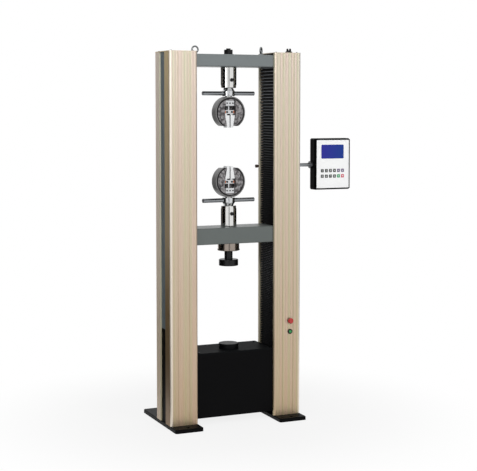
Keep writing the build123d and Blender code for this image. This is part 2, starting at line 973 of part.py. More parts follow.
def shank(seat_z, up):
    bore = stem_radius + running_clearance
    foot_height = sleeve_end_wall + seat_gap
    bore_floor = stem_foot_height - jaw_open_travel - foot_edge
    slot_low = collar_seat + seat_gap + key_cavity_floor
    with BuildPart() as piece:
        add(grip_turned(
            (
                (0, foot_height), (shank_radius, foot_height), (shank_radius, collar_seat),
                (neck_radius, collar_seat), (neck_radius, shank_head), (bore, shank_head),
                (bore, bore_floor), (0, bore_floor),
            ),
            seat_z, up,
        ).part)
        with BuildSketch(front_view(load_y, 0, seat_z + up * cross_pin_height)):
            Circle(cross_pin_radius + running_clearance)
        extrude(amount=sleeve_radius + cut_overrun, both=True, mode=Mode.SUBTRACT)
        slot_middle = seat_z + up * (slot_low + key_cavity_height / 2)
        with BuildSketch(front_view(load_y, 0, slot_middle)):
            Rectangle(2 * (neck_radius + cut_overrun), key_cavity_height)
        extrude(amount=key_width / 2 + seat_gap, both=True, mode=Mode.SUBTRACT)
    return piece


def collar(seat_z, up):
    bore = neck_radius + running_clearance
    low = collar_seat + seat_gap
    high = low + collar_height
    cavity_low = low + key_cavity_floor
    cavity_high = cavity_low + key_cavity_height
    with BuildPart() as piece:
        add(grip_turned(
            (
                (bore, low), (collar_foot_radius, low), (collar_radius, low + collar_cone_height),
                (collar_radius, high - collar_edge), (collar_radius - collar_edge, high), (bore, high),
                (bore, cavity_high), (key_cavity_radius, cavity_high),
                (key_cavity_radius, cavity_low), (bore, cavity_low),
            ),
            seat_z, up,
        ).part)
        for side in (-1, 1):
            with BuildSketch(side_view(side * handle_root, load_y, seat_z + up * handle_height)):
                Circle(handle_radius + running_clearance)
            extrude(amount=side * collar_radius, mode=Mode.SUBTRACT)
    return piece


def handles(seat_z, up):
    with BuildPart() as pair:
        for side in (-1, 1):
            with BuildSketch(side_view(side * handle_root, load_y, seat_z + up * handle_height)):
                Circle(handle_radius)
            extrude(amount=side * (handle_reach - handle_root))
        outer_rims = pair.edges().filter_by(GeomType.CIRCLE).sort_by(Axis.X)
        chamfer((outer_rims[0], outer_rims[-1]), handle_edge)
    return pair


def wedge_opening(up):
    """The outline of the opening in a grip body: wedge walls above a straight-sided chamber."""
    brow = body_brow + cut_overrun
    wide, narrow = wedge_wall(chamber_top), wedge_wall(brow)
    right = [(narrow, up * brow), (wide, up * chamber_top), (wide, up * guide_block_top)]
    return right + [(-across, height) for across, height in reversed(right)]


def grip_body(seat_z, up):
    center_z = seat_z + up * body_center_height
    front = load_y - body_depth / 2
    block_half = guide_block_width / 2 + running_clearance
    with BuildPart() as body:
        add(turned_towards(
            (0, 1, 0),
            (
                (0, 0), (body_radius - body_edge, 0), (body_radius, body_edge),
                (body_radius, body_depth - body_edge), (body_radius - body_edge, body_depth),
                (0, body_depth),
            ),
            0, front, center_z,
        ).part)
        with BuildSketch(front_view(front, 0, center_z)):
            with Locations((0, up * (body_brow - body_foot) / 2)):
                Rectangle(2 * body_radius, body_brow + body_foot)
        extrude(amount=-body_depth, mode=Mode.INTERSECT)
        with BuildSketch(front_view(front, 0, center_z)):
            with BuildLine():
                Polyline(*wedge_opening(up), close=True)
            make_face()
            with Locations((0, up * (guide_block_foot + guide_block_height / 2))):
                Rectangle(2 * block_half, guide_block_height)
        extrude(amount=body_back_wall - body_depth, mode=Mode.SUBTRACT)
        for face_y in (front, front + body_depth - ring_groove_depth):
            with BuildSketch(front_view(face_y, 0, center_z)):
                Circle(ring_groove_radius + ring_groove_width)
                Circle(ring_groove_radius, mode=Mode.SUBTRACT)
            extrude(amount=-ring_groove_depth, mode=Mode.SUBTRACT)
        with BuildSketch(level(center_z - up * body_foot, 0, load_y)):
            Circle(neck_radius + running_clearance)
        extrude(amount=up * (body_foot + guide_block_foot), mode=Mode.SUBTRACT)
        for side in (-1, 1):
            wall_low, wall_high = wedge_wall(chamber_top), wedge_wall(body_brow)
            with BuildSketch(front_view(load_y, 0, center_z)):
                with BuildLine():
                    Polyline(
                        (side * (wall_low + rail_depth), up * chamber_top),
                        (side * (wall_low - rail_depth), up * chamber_top),
                        (side * (wall_high - rail_depth), up * body_brow),
                        (side * (wall_high + rail_depth), up * body_brow),
                        close=True,
                    )
                make_face()
            extrude(amount=rail_width / 2, both=True)
    return body


def guide_block(seat_z, up):
    center_z = seat_z + up * body_center_height
    middle = guide_block_foot + guide_block_height / 2
    with BuildPart() as block:
        with BuildSketch(front_view(load_y, 0, center_z + up * middle)):
            Rectangle(guide_block_width, guide_block_height)
        extrude(amount=guide_block_depth / 2, both=True)
        chamfer(block.faces().filter_by(Axis.Y).edges(), guide_block_edge)
        with BuildSketch(level(center_z + up * middle, 0, load_y)):
            Circle(stem_radius + running_clearance)
        extrude(amount=guide_block_height, both=True, mode=Mode.SUBTRACT)
    return block


def draw_bar(seat_z, up):
    """The stem, the key that the collar drives, and the bar whose slot carries both jaws."""
    center_z = seat_z + up * body_center_height
    stem_length = body_center_height + bar_low - stem_foot_height
    key_z = seat_z + up * key_rest_height
    with BuildPart() as bar:
        with BuildSketch(level(seat_z + up * stem_foot_height, 0, load_y)):
            Circle(stem_radius)
        extrude(amount=up * stem_length)
        with BuildSketch(front_view(load_y, 0, key_z)):
            Rectangle(2 * key_reach, key_height)
        extrude(amount=key_width / 2, both=True)
        with BuildSketch(side_view(-bar_half_width, load_y, center_z)):
            with Locations((0, up * (bar_low + bar_high) / 2)):
                Rectangle(bar_depth, bar_high - bar_low)
            with Locations((0, up * (bar_high - tee_roof / 2))):
                Rectangle(tee_slot_width, tee_roof, mode=Mode.SUBTRACT)
            with Locations((0, up * (bar_high - tee_roof - tee_head_height / 2))):
                Rectangle(tee_head_width, tee_head_height, mode=Mode.SUBTRACT)
        extrude(amount=2 * bar_half_width)
    return bar


def jaw(seat_z, up, side):
    center_z = seat_z + up * body_center_height
    face = jaw_rest_gap / 2
    groove_low = wedge_half_width(jaw_foot_height) - rail_depth - seat_gap
    groove_high = wedge_half_width(jaw_tip_height) - rail_depth - seat_gap
    foot_x = side * (face + tee_foot_start)
    neck_low = bar_high - tee_roof - seat_gap
    with BuildPart() as wedge_jaw:
        with BuildSketch(front_view(load_y, 0, center_z)):
            with BuildLine():
                Polyline(
                    (side * face, up * jaw_foot_height),
                    (side * wedge_half_width(jaw_foot_height), up * jaw_foot_height),
                    (side * wedge_half_width(jaw_tip_height), up * jaw_tip_height),
                    (side * face, up * jaw_tip_height), close=True,
                )
            make_face()
        extrude(amount=jaw_depth / 2, both=True)
        with BuildSketch(front_view(load_y, 0, center_z)):
            with BuildLine():
                Polyline(
                    (side * groove_low, up * jaw_foot_height),
                    (side * (groove_low + 2 * rail_width), up * jaw_foot_height),
                    (side * (groove_high + 2 * rail_width), up * jaw_tip_height),
                    (side * groove_high, up * jaw_tip_height), close=True,
                )
            make_face()
        extrude(amount=rail_width / 2 + seat_gap, both=True, mode=Mode.SUBTRACT)
        with BuildSketch(side_view(foot_x, load_y, center_z)):
            with Locations((0, up * (jaw_foot_height + neck_low) / 2)):
                Rectangle(tee_slot_width - 2 * seat_gap, jaw_foot_height - neck_low)
            with Locations((0, up * (neck_low - tee_head_height / 2 + seat_gap))):
                Rectangle(tee_head_width - 2 * seat_gap, tee_head_height - 2 * seat_gap)
        extrude(amount=side * tee_foot_length)
    return wedge_jaw


def save_grip(name, seat_z, up):
    save_set((sleeve(seat_z, up), shank(seat_z, up)), f"{name}_grip_adapter")
    save(cross_pin(seat_z, up), f"{name}_grip_cross_pin")
    save_set((collar(seat_z, up), handles(seat_z, up)), f"{name}_grip_collar")
    save(grip_body(seat_z, up), f"{name}_grip_body")
    save(guide_block(seat_z, up), f"{name}_grip_guide_block")
    save(draw_bar(seat_z, up), f"{name}_grip_draw_bar")
    save(jaw(seat_z, up, -1), f"{name}_grip_jaw_left")
    save(jaw(seat_z, up, 1), f"{name}_grip_jaw_right")


# Pieces on top of the machine
def eye_bolts():
    with BuildPart() as pair:
        for x, turn in ((-eye_bolt_x, left_eye_turn), (eye_bolt_x, right_eye_turn)):
            with Locations(Location((x, load_y, top_top + eye_center_height), (90, turn, 0))):
                Torus(eye_ring_radius, eye_wire_radius)
            with BuildSketch(level(top_top, x, load_y)):
                Circle(eye_collar_radius)
            extrude(amount=eye_collar_height, taper=eye_collar_taper)
            with BuildSketch(level(top_top - eye_shank_length, x, load_y)):
                Circle(eye_shank_radius)
            extrude(amount=eye_shank_length)
    return pair


def draw_stud():
    """The stud that hangs the upper grip from the top crosshead."""
    low = top_bottom - stud_end
    high = top_top + draw_stud_rise
    return turned(((0, low), (stud_radius, low), (stud_radius, high), (0, high)), 0, load_y)


def draw_nut():
    with BuildPart() as nut:
        with BuildSketch(level(top_top, 0, load_y)):
            Circle(draw_washer_radius)
        extrude(amount=draw_washer_height)
        with BuildSketch(level(top_top + draw_washer_height, 0, load_y)):
            RegularPolygon(draw_nut_across_flats / 2, 6, major_radius=False)
        extrude(amount=draw_nut_height)
        with BuildSketch(level(top_top, 0, load_y)):
            Circle(stud_radius + running_clearance)
        extrude(amount=draw_washer_height + draw_nut_height, mode=Mode.SUBTRACT)
    return nut


def column_gland():
    """A cable gland with a crown of fingers on the right column's cap."""
    low = column_top + cap_thickness
    high = low + gland_height
    with BuildPart() as gland:
        add(turned(
            (
                (gland_bore, low), (gland_flange_radius, low),
                (gland_flange_radius, low + gland_flange_height),
                (gland_neck_radius, low + gland_flange_height), (gland_crown_radius, high),
                (gland_bore, high),
            ),
            gland_x, gland_y,
        ).part)
        with BuildSketch(level(high, gland_x, gland_y)):
            with PolarLocations((gland_bore + gland_crown_radius) / 2, gland_notch_count):
                Rectangle(gland_crown_radius, gland_notch_width)
        extrude(amount=-gland_notch_depth, mode=Mode.SUBTRACT)
    return gland


# Buttons
def button_bezels():
    with BuildPart() as bezels:
        for z in (stop_button_z, start_button_z):
            with BuildSketch(front_view(front_plane, button_x, z)):
                Circle(bezel_radius)
                Circle(stop_stem_radius + running_clearance, mode=Mode.SUBTRACT)
            extrude(amount=bezel_height)
            with BuildSketch(front_view(front_plane, button_x, z)):
                Circle(button_hole_radius - seat_gap)
                Circle(stop_stem_radius + running_clearance, mode=Mode.SUBTRACT)
            extrude(amount=-profile_wall)
            with BuildSketch(front_view(front_plane + profile_wall, button_x, z)):
                RectangleRounded(button_block_side, button_block_side, bezel_height)
            extrude(amount=-button_block_depth)
            with BuildSketch(front_view(front_plane + profile_wall, button_x, z)):
                Circle(stop_stem_radius + running_clearance)
            extrude(amount=-button_block_depth / 2, mode=Mode.SUBTRACT)
    return bezels


def stop_button():
    head_back = bezel_height + button_travel + seat_gap
    head_front = head_back + stop_head_height
    shoulder = stop_head_radius - button_travel
    return turned_towards(
        (0, -1, 0),
        (
            (0, -profile_wall), (stop_stem_radius, -profile_wall), (stop_stem_radius, head_back),
            (stop_head_radius, head_back), (stop_head_radius, head_back + stop_head_height / 2),
            (shoulder, head_front), (0, head_front),
        ),
        button_x, front_plane, stop_button_z,
    )


def start_button():
    front = bezel_height + start_cap_proud
    return turned_towards(
        (0, -1, 0),
        (
            (0, -profile_wall), (stop_stem_radius, -profile_wall),
            (stop_stem_radius, front - button_edge), (stop_stem_radius - button_edge, front), (0, front),
        ),
        button_x, front_plane, start_button_z,
    )


def limit_knob():
    """The thumb screw that clamps the upper limit stop, on the rear profile's inner face."""
    collar_end = seat_gap + limit_collar_length
    end = collar_end + limit_knob_length
    return turned_towards(
        (-1, 0, 0),
        (
            (0, -profile_wall), (limit_stem_radius, -profile_wall), (limit_stem_radius, seat_gap),
            (limit_collar_radius, seat_gap), (limit_collar_radius, collar_end),
            (limit_knob_radius, collar_end), (limit_knob_radius, end - button_edge),
            (limit_knob_radius - button_edge, end), (0, end),
        ),
        inner_face, limit_y, limit_z,
    )


# Console and its arm
def hinge_bracket():
    lug = hinge_eye_height + 2 * (hinge_fork_wall + seat_gap)
    plate_face = strip_outer + hinge_plate_thickness
    with BuildPart() as bracket:
        with BuildSketch(side_view(strip_outer, arm_y, arm_z)):
            RectangleRounded(hinge_plate_side, hinge_plate_side, inner_corner_radius)
        extrude(amount=hinge_plate_thickness)
        with BuildSketch(level(arm_z - lug / 2, hinge_x, arm_y)):
            Circle(hinge_eye_radius)
            with Locations(((plate_face - hinge_x) / 2, 0)):
                Rectangle(hinge_x - plate_face, 2 * hinge_eye_radius)
        extrude(amount=lug)
        gap = hinge_eye_height + 2 * seat_gap
        with BuildSketch(level(arm_z - gap / 2, hinge_x, arm_y)):
            Circle(hinge_x - plate_face)
        extrude(amount=gap, mode=Mode.SUBTRACT)
        with BuildSketch(level(arm_z - lug / 2, hinge_x, arm_y)):
            Circle(hinge_pin_radius + running_clearance)
        extrude(amount=lug, mode=Mode.SUBTRACT)
    return bracket


def hinge_pin():
    length = hinge_eye_height + 2 * (hinge_fork_wall + seat_gap)
    head = arm_z + length / 2
    foot_z = arm_z - length / 2
    head_radius = hinge_pin_radius + button_edge + foot_edge
    return turned(
        (
            (0, foot_z), (hinge_pin_radius, foot_z), (hinge_pin_radius, head), (head_radius, head),
            (head_radius, head + foot_edge), (0, head + foot_edge),
        ),
        hinge_x, arm_y,
    )


def console_arm():
    flange_start = console_left - seat_gap - arm_flange_length
    with BuildPart() as arm:
        with BuildSketch(side_view(hinge_x, arm_y, arm_z)):
            Circle(arm_radius)
        extrude(amount=flange_start - hinge_x)
        with BuildSketch(side_view(flange_start, arm_y, arm_z)):
            Circle(arm_flange_radius)
        extrude(amount=arm_flange_length)
        with BuildSketch(side_view(flange_start + arm_flange_length, arm_y, arm_z)):
            Circle(swivel_radius)
        extrude(amount=swivel_reach)
        with BuildSketch(side_view(hinge_x + hinge_eye_radius, arm_y, arm_z)):
            Circle(arm_bore)
        extrude(amount=console_left + swivel_reach - hinge_x, mode=Mode.SUBTRACT)
        with BuildSketch(level(arm_z, hinge_x, arm_y)):
            Circle(hinge_eye_radius)
        extrude(amount=hinge_eye_height / 2, both=True)
        with BuildSketch(level(arm_z, hinge_x, arm_y)):
            Circle(hinge_pin_radius + running_clearance)
        extrude(amount=hinge_eye_height, both=True, mode=Mode.SUBTRACT)
    return arm


def console_shell():
    """The rear tray of the console, open to the front."""
    depth = console_depth - bezel_depth
    with BuildPart() as shell:
        with BuildSketch(front_view(console_front + console_depth, console_x, console_z)):
            RectangleRounded(console_width, console_height, console_corner)
        extrude(amount=depth)
        back_rim = shell.faces().sort_by(Axis.Y)[-1].edges()
        fillet(back_rim, console_edge)
        with BuildSketch(front_view(console_front + console_depth - console_wall, console_x, console_z)):
            RectangleRounded(
                console_width - 2 * console_wall, console_height - 2 * console_wall,
                console_corner - console_wall,
            )
        extrude(amount=depth, mode=Mode.SUBTRACT)
        with BuildSketch(side_view(console_left, arm_y, arm_z)):
            Circle(swivel_radius + running_clearance)
        extrude(amount=console_wall, mode=Mode.SUBTRACT)
    return shell


def console_bezel():
    """The sloping frame round the console's panel, with a ledge that the panel sits on."""
    back = console_front + bezel_depth
    window = (console_width - 2 * panel_border, console_height - 2 * panel_border)
    slope = degrees(atan2(bezel_taper, bezel_depth))
    with BuildPart() as frame:
        with BuildSketch(front_view(back, console_x, console_z)):
            RectangleRounded(console_width, console_height, console_corner)
        extrude(amount=bezel_depth, taper=slope)
        with BuildSketch(front_view(console_front, console_x, console_z)):
            RectangleRounded(*window, panel_corner)
        extrude(amount=-(panel_thickness + bezel_lap), mode=Mode.SUBTRACT)
        with BuildSketch(front_view(back, console_x, console_z)):
            RectangleRounded(window[0] - 2 * panel_corner, window[1] - 2 * panel_corner, panel_corner)
        extrude(amount=bezel_depth, mode=Mode.SUBTRACT)
    return frame


def console_panel():
    with BuildPart() as panel:
        with BuildSketch(front_view(panel_back, console_x, console_z)):
            RectangleRounded(
                console_width - 2 * panel_border - 2 * seat_gap,
                console_height - 2 * panel_border - 2 * seat_gap,
                panel_corner,
            )
        extrude(amount=panel_thickness)
    return panel


def console_screen():
    top = console_bottom + console_height - panel_border
    with BuildPart() as screen:
        middle = top - screen_drop - screen_height / 2
        with BuildSketch(front_view(panel_face, console_x + screen_offset, middle)):
            RectangleRounded(screen_width, screen_height, screen_corner)
        extrude(amount=screen_thickness)
    return screen


def console_keys():
    first_row = console_bottom + console_height - panel_border - key_first_drop
    with BuildPart() as keys:
        with BuildSketch(front_view(panel_face, console_x + screen_offset, first_row - key_row_gap / 2)):
            with GridLocations(key_pitch, key_row_gap, key_columns, 2):
                RectangleRounded(key_side, key_side, key_corner)
        extrude(amount=key_proud)
    return keys


# Every piece, written in the order in which the machine is built up
sides = ((-1, "left"), (1, "right"))
lower_journal_bore = lower_journal_radius + running_clearance
upper_journal_bore = upper_journal_radius + running_clearance
save_set((foot(-1), foot(1)), "feet")
save(base_pedestals(), "base_pedestals")
save(base_beam(), "base_beam")
save(base_top_plate(), "base_top_plate")
save(base_front_cover(), "base_front_cover")
save(base_rear_cover(), "base_rear_cover")
save(motor_bracket(), "motor_bracket")
save_set((gearbox(), drive_motor()), "gear_motor")
save_set((pulley(drive_x, lower_pulley_low, drive_pulley_radius), output_shaft()), "drive_pulley")
save_set(
    (
        pulley(-screw_x, upper_pulley_low, screw_pulley_radius),
        pulley(-screw_x, lower_pulley_low, screw_pulley_radius),
    ),
    "screw_pulleys_left",
)
save(pulley(screw_x, upper_pulley_low, screw_pulley_radius), "screw_pulley_right")
save_set(
    (
        belt(-screw_x, screw_pulley_radius, drive_x, drive_pulley_radius, lower_pulley_low),
        belt(-screw_x, screw_pulley_radius, screw_x, screw_pulley_radius, upper_pulley_low),
    ),
    "toothed_belts",
)
for side, name in sides:
    save(ball_screw(side), f"ball_screw_{name}")
save_set(
    (
        rings(screw_places, beam_top - bearing_width, bearing_width, bearing_radius, lower_journal_bore),
        rings(screw_places, top_bottom, top_bearing_width, top_bearing_radius, upper_journal_bore),
    ),
    "screw_bearings",
)
save(guide_columns(), "guide_columns")
save_set((front_profile(-1), front_profile(1)), "front_profiles")
save_set((rear_profile(-1), rear_profile(1)), "rear_profiles")
save(strip_pair(column_foot, column_foot + lower_strip_height), "side_strips_lower")
save(strip_pair(column_foot + lower_strip_height, column_top), "side_strips_upper")
save(column_caps(), "column_caps")
save_set((column_gland(), mains_gland()), "cable_glands")
save(top_crosshead(), "top_crosshead")
save(eye_bolts(), "eye_bolts")
save_set((draw_stud(), draw_nut()), "draw_bolt")
save(moving_crosshead(), "moving_crosshead")
save_set(
    (
        ball_nuts(),
        rings(guide_places, moving_bottom, moving_height, bush_radius, guide_radius + running_clearance),
    ),
    "ball_nuts_and_bushes",
)
lower_bellows = (beam_top + seat_gap, moving_bottom - seat_gap)
upper_bellows = (moving_top + seat_gap, top_bottom - seat_gap)
save_set([bellows(side, *lower_bellows) for side in (-1, 1)], "bellows_lower")
save_set([bellows(side, *upper_bellows) for side in (-1, 1)], "bellows_upper")
save(load_cell(), "load_cell")
save_set(
    (platen_stem(), platen(upper_platen_low, upper_platen_height, upper_platen_radius, False)),
    "upper_platen",
)
save(platen(base_top, lower_platen_height, lower_platen_radius, True), "lower_platen")
save_grip("lower", moving_top, 1)
save_grip("upper", top_bottom, -1)
save(button_bezels(), "button_bezels")
save(stop_button(), "stop_button")
save(start_button(), "start_button")
save(limit_knob(), "limit_knob")
save_set((hinge_bracket(), hinge_pin()), "console_bracket")
save(console_arm(), "console_arm")
save(console_shell(), "console_shell")
save(console_bezel(), "console_bezel")
save(console_panel(), "console_panel")
save(console_screen(), "console_screen")
save(console_keys(), "console_keys")
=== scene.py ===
# %% [markdown]
# # A twin-column testing machine
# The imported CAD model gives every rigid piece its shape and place. This lesson dresses it: each
# piece gets a finish, the bellows get real pleats, and the small things that a CAD model leaves
# out, such as screws, threads and jaw teeth, are made here. Everything is in metres.

# %% Load the frame
import math
import bmesh
import bpy
from mathutils import Matrix, Vector


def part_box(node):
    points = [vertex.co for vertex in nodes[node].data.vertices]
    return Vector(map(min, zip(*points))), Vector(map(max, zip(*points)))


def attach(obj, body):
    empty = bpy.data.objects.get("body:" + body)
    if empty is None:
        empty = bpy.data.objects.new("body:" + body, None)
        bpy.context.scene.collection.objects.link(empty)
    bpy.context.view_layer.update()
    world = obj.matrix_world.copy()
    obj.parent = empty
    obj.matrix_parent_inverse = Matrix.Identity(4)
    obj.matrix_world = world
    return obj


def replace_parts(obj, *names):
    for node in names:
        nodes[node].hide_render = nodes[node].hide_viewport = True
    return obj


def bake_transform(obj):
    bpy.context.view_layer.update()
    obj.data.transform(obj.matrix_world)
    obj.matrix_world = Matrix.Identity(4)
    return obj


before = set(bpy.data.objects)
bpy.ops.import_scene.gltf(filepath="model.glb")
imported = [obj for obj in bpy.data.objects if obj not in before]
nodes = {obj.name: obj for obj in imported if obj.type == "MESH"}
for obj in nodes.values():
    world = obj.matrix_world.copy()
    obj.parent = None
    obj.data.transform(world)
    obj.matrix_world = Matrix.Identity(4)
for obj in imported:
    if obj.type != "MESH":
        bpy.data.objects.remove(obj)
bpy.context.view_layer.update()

scene = bpy.context.scene
mm = 0.001

# %% [markdown]
# ## Colours and nodes
# Colours are written as sRGB hex codes, as a paint card gives them, and Blender's sockets hold
# linear light, so one function turns the first into the second. One more adds a node, because a
# finish reads best as a list of what feeds what. In a Mix node socket 0 is the share, and sockets 6
# and 7 are the two colours. A Math node's values are its sockets 0 and 1.


# %% Colour and node helpers
def linear(code, shade=1.0):
    """The linear colour of an sRGB hex code, made darker or lighter by shade."""
    parts = [int(code[i:i + 2], 16) / 255 for i in (1, 3, 5)]
    flat = [c / 12.92 if c <= 0.04045 else ((c + 0.055) / 1.055) ** 2.4 for c in parts]
    return [min(1.0, c * shade) for c in flat] + [1.0]


def add(tree, kind, inputs=None, **settings):
    """Add one node. Its inputs take values or the outputs of other nodes."""
    made = tree.nodes.new(kind)
    for name, value in settings.items():
        setattr(made, name, value)
    for name, value in (inputs or {}).items():
        if isinstance(value, bpy.types.NodeSocket):
            tree.links.new(value, made.inputs[name])
        else:
            made.inputs[name].default_value = value
    return made


print("mid grey is", round(linear("#808080")[0], 3))

# %% [markdown]
# ## What a finish is
# No real surface is one flat colour. A ground bar has fine lines, powder coat has a peel like an
# orange, and cast paint has slow patches. So one function makes all of them from two noise
# patterns: a fine grain with a real size in millimetres, which can be stretched along the way the
# tool went, and slow patches about a hand wide. Both shade the colour and the gloss, and the fine
# one also lifts the surface. Grinding and turning lines are finer than a render of a whole machine
# can show, so their grain is drawn coarser, at 0.6 to 1 mm. Noise stays mostly between 0.3 and 0.7,
# so that part is drawn out to the full range.

# %% The finish function
patches_per_metre = 11.0  # a slow patch is about 90 mm wide


def finish(
    name, code, rough, metal=0.0, grain=1.0, stretch=(1, 1, 1), tone=0.08, spread=0.06, lift=0.0,
    patch=0.3, **fixed,
):
    """Make a finish. Grain and lift are in millimetres; fixed sets the shader's own sockets."""
    material = bpy.data.materials.new(name)
    material.use_nodes = True
    tree = material.node_tree
    shader = tree.nodes["Principled BSDF"]
    place = add(tree, "ShaderNodeTexCoord").outputs["Object"]
    along = add(tree, "ShaderNodeMapping", {"Vector": place, "Scale": stretch}).outputs["Vector"]
    fine = {"Vector": along, "Scale": 1000 / grain, "Detail": 3.0}
    fine = add(tree, "ShaderNodeTexNoise", fine).outputs["Fac"]
    slow = {"Vector": place, "Scale": patches_per_metre, "Detail": 2.0}
    slow = add(tree, "ShaderNodeTexNoise", slow).outputs["Fac"]
    mixed = add(tree, "ShaderNodeMix", {"Factor": patch, "A": fine, "B": slow}).outputs["Result"]
    pattern = {"Value": mixed, "From Min": 0.3, "From Max": 0.7}
    pattern = add(tree, "ShaderNodeMapRange", pattern).outputs["Result"]
    ends = {0: pattern, 6: linear(code, 1 - tone), 7: linear(code, 1 + tone)}
    colour = add(tree, "ShaderNodeMix", ends, data_type="RGBA").outputs[2]
    gloss = {"Value": pattern, "To Min": max(0.02, rough - spread), "To Max": rough + spread}
    tree.links.new(colour, shader.inputs["Base Color"])
    gloss = add(tree, "ShaderNodeMapRange", gloss).outputs["Result"]
    tree.links.new(gloss, shader.inputs["Roughness"])
    if lift:
        bump = add(tree, "ShaderNodeBump", {"Height": fine, "Distance": lift * mm, "Strength": 1.0})
        tree.links.new(bump.outputs["Normal"], shader.inputs["Normal"])
    shader.inputs["Metallic"].default_value = metal
    for socket, value in fixed.items():
        shader.inputs[socket.replace("_", " ")].default_value = value
    return material


def dress(material, *names):
    """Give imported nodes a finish."""
    for name in names:
        nodes[name].data.materials.clear()
        nodes[name].data.materials.append(material)
    print(f"{material.name:20} {len(names)} nodes")


def opened(material):
    """A finish's tree, its colour socket, what feeds that socket now, and the place on the object."""
    tree = material.node_tree
    socket = tree.nodes["Principled BSDF"].inputs["Base Color"]
    place = add(tree, "ShaderNodeTexCoord").outputs["Object"]
    return tree, socket, socket.links[0].from_socket, place


print("finish and dress are ready for", len(nodes), "nodes")

# %% [markdown]
# ## Anodised columns
# The columns are extruded aluminium, drawn through a die and then anodised a pale champagne. The
# die leaves faint lines that run the whole height, so the grain is stretched a hundredfold along
# Z. Anodising keeps the metal's reflection but softens it, so the surface is mostly metallic and
# quite rough.
#
# The colour runs from a cool champagne at the top to a deeper tan at the foot: painted shade, since
# the light falls from above. Each flute reflects its own slice of the room, so narrow upright bands
# of painted reflection lean to rose or to olive. A Z scale of 0 in the Mapping node turns patches
# of noise into such bands.

# %% Anodised finish
bands_per_metre = 62.0  # an upright band is about 16 mm wide, two flutes
shift_low, shift_high = 0.05, 1.95  # the colour shifts between these heights


def climb_share(tree, height):
    """0 at the foot of a column and 1 at its top."""
    climb = {"Value": height, "From Min": shift_low, "From Max": shift_high}
    return add(tree, "ShaderNodeMapRange", climb).outputs["Result"]


def anodised(name, metal, rough, foot_code, top_code):
    """An anodised extrusion with die lines, painted shade that darkens it towards the foot, and upright
    bands of painted reflection.
    """
    profile = finish(
        name, top_code, rough, metal, grain=1.4, stretch=(1, 1, 0.004), tone=0.03, spread=0.04,
        lift=0.012, patch=0.12,
    )
    tree, _, drawn, place = opened(profile)
    climb = climb_share(tree, add(tree, "ShaderNodeSeparateXYZ", {0: place}).outputs["Z"])
    flat = add(tree, "ShaderNodeMapping", {"Vector": place, "Scale": (1, 1, 0)}).outputs["Vector"]
    bands = {"Vector": flat, "Scale": bands_per_metre, "Detail": 1.0}
    bands = add(tree, "ShaderNodeTexNoise", bands).outputs["Fac"]
    bands = {"Value": bands, "From Min": 0.42, "From Max": 0.58}
    bands = add(tree, "ShaderNodeMapRange", bands).outputs["Result"]
    # painted shade: the colour darkens from the top code to the foot code towards the foot
    painted_height_shade = {0: climb, 6: linear(foot_code), 7: linear(top_code)}
    painted_height_shade = add(tree, "ShaderNodeMix", painted_height_shade, data_type="RGBA").outputs[2]
    # painted reflection: upright bands lean to rose or to olive
    hue = {0: bands, 6: linear("#fff1ee"), 7: linear("#f3f6e2")}
    hue = add(tree, "ShaderNodeMix", hue, data_type="RGBA").outputs[2]
    tinted = {0: 1.0, 6: painted_height_shade, 7: hue}
    tinted = add(tree, "ShaderNodeMix", tinted, data_type="RGBA", blend_type="MULTIPLY").outputs[2]
    paler = {0: 0.12, 6: tinted, 7: linear("#ffffff")}
    paler = add(tree, "ShaderNodeMix", paler, data_type="RGBA").outputs[2]
    tree.links.new(tinted, drawn.node.inputs[6])
    tree.links.new(paler, drawn.node.inputs[7])
    return profile


# the rear profiles are paler and flatter in the photograph, so they are hardly metallic
front_champagne = anodised("front_champagne", 0.6, 0.36, "#bea98a", "#e0d7ca")
rear_champagne = anodised("rear_champagne", 0.15, 0.45, "#d6c6b0", "#efe5dc")
print("champagne finishes", front_champagne.name, rear_champagne.name)

# %% [markdown]
# ## Flank and corner
# The outer flank of a front profile is painted a browner champagne that deepens towards the foot,
# which is painted shade, and the rounded corner in front of it is one pale line, a painted
# highlight. The distance from the middle plane chooses them: close to the outside the colour goes
# pale, and on the flank itself brown is multiplied in.

# %% Flank and corner
# the corner's painted highlight and the flank's painted shade begin and are full at these distances in
# from the outside
corner_start, corner_full, corner_share = 16 * mm, 11 * mm, 0.65
flank_start, flank_full = 1.2 * mm, 0.2 * mm


def paint_flank_shade_and_highlight(profile, outside):
    """Paint shade on the outer flank of a profile in brown, and a pale highlight on the corner in front
    of it.
    """
    tree, colour, base, place = opened(profile)
    place = add(tree, "ShaderNodeSeparateXYZ", {0: place}).outputs
    width = add(tree, "ShaderNodeMath", {0: place["X"]}, operation="ABSOLUTE").outputs[0]
    corner = {"Value": width, "From Min": outside - corner_start, "From Max": outside - corner_full}
    corner["To Max"] = corner_share
    corner = add(tree, "ShaderNodeMapRange", corner).outputs["Result"]
    # painted highlight: the rounded corner goes pale
    painted_corner_highlight = {0: corner, 6: base, 7: linear("#fff8ea")}
    painted_corner_highlight = add(tree, "ShaderNodeMix", painted_corner_highlight, data_type="RGBA").outputs[2]
    # painted shade: brown, deeper towards the foot, is multiplied into the flank
    brown = {0: climb_share(tree, place["Z"]), 6: linear("#9a7f4e"), 7: linear("#ffeec4")}
    brown = add(tree, "ShaderNodeMix", brown, data_type="RGBA").outputs[2]
    brown = {0: 1.0, 6: base, 7: brown}
    brown = add(tree, "ShaderNodeMix", brown, data_type="RGBA", blend_type="MULTIPLY").outputs[2]
    flank = {"Value": width, "From Min": outside - flank_start, "From Max": outside - flank_full}
    flank = add(tree, "ShaderNodeMapRange", flank).outputs["Result"]
    shaded = {0: flank, 6: painted_corner_highlight, 7: brown}
    tree.links.new(add(tree, "ShaderNodeMix", shaded, data_type="RGBA").outputs[2], colour)


paint_flank_shade_and_highlight(front_champagne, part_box("front_profiles")[1].x)
dress(front_champagne, "front_profiles", "column_caps")
dress(rear_champagne, "rear_profiles")

# %% [markdown]
# ## Strips between the profiles
# A steel strip closes the gap between the two profiles of a column. Its lower part is powder
# coated black, which hardly shines, and its upper part is painted a blue grey and wiped lengthwise.

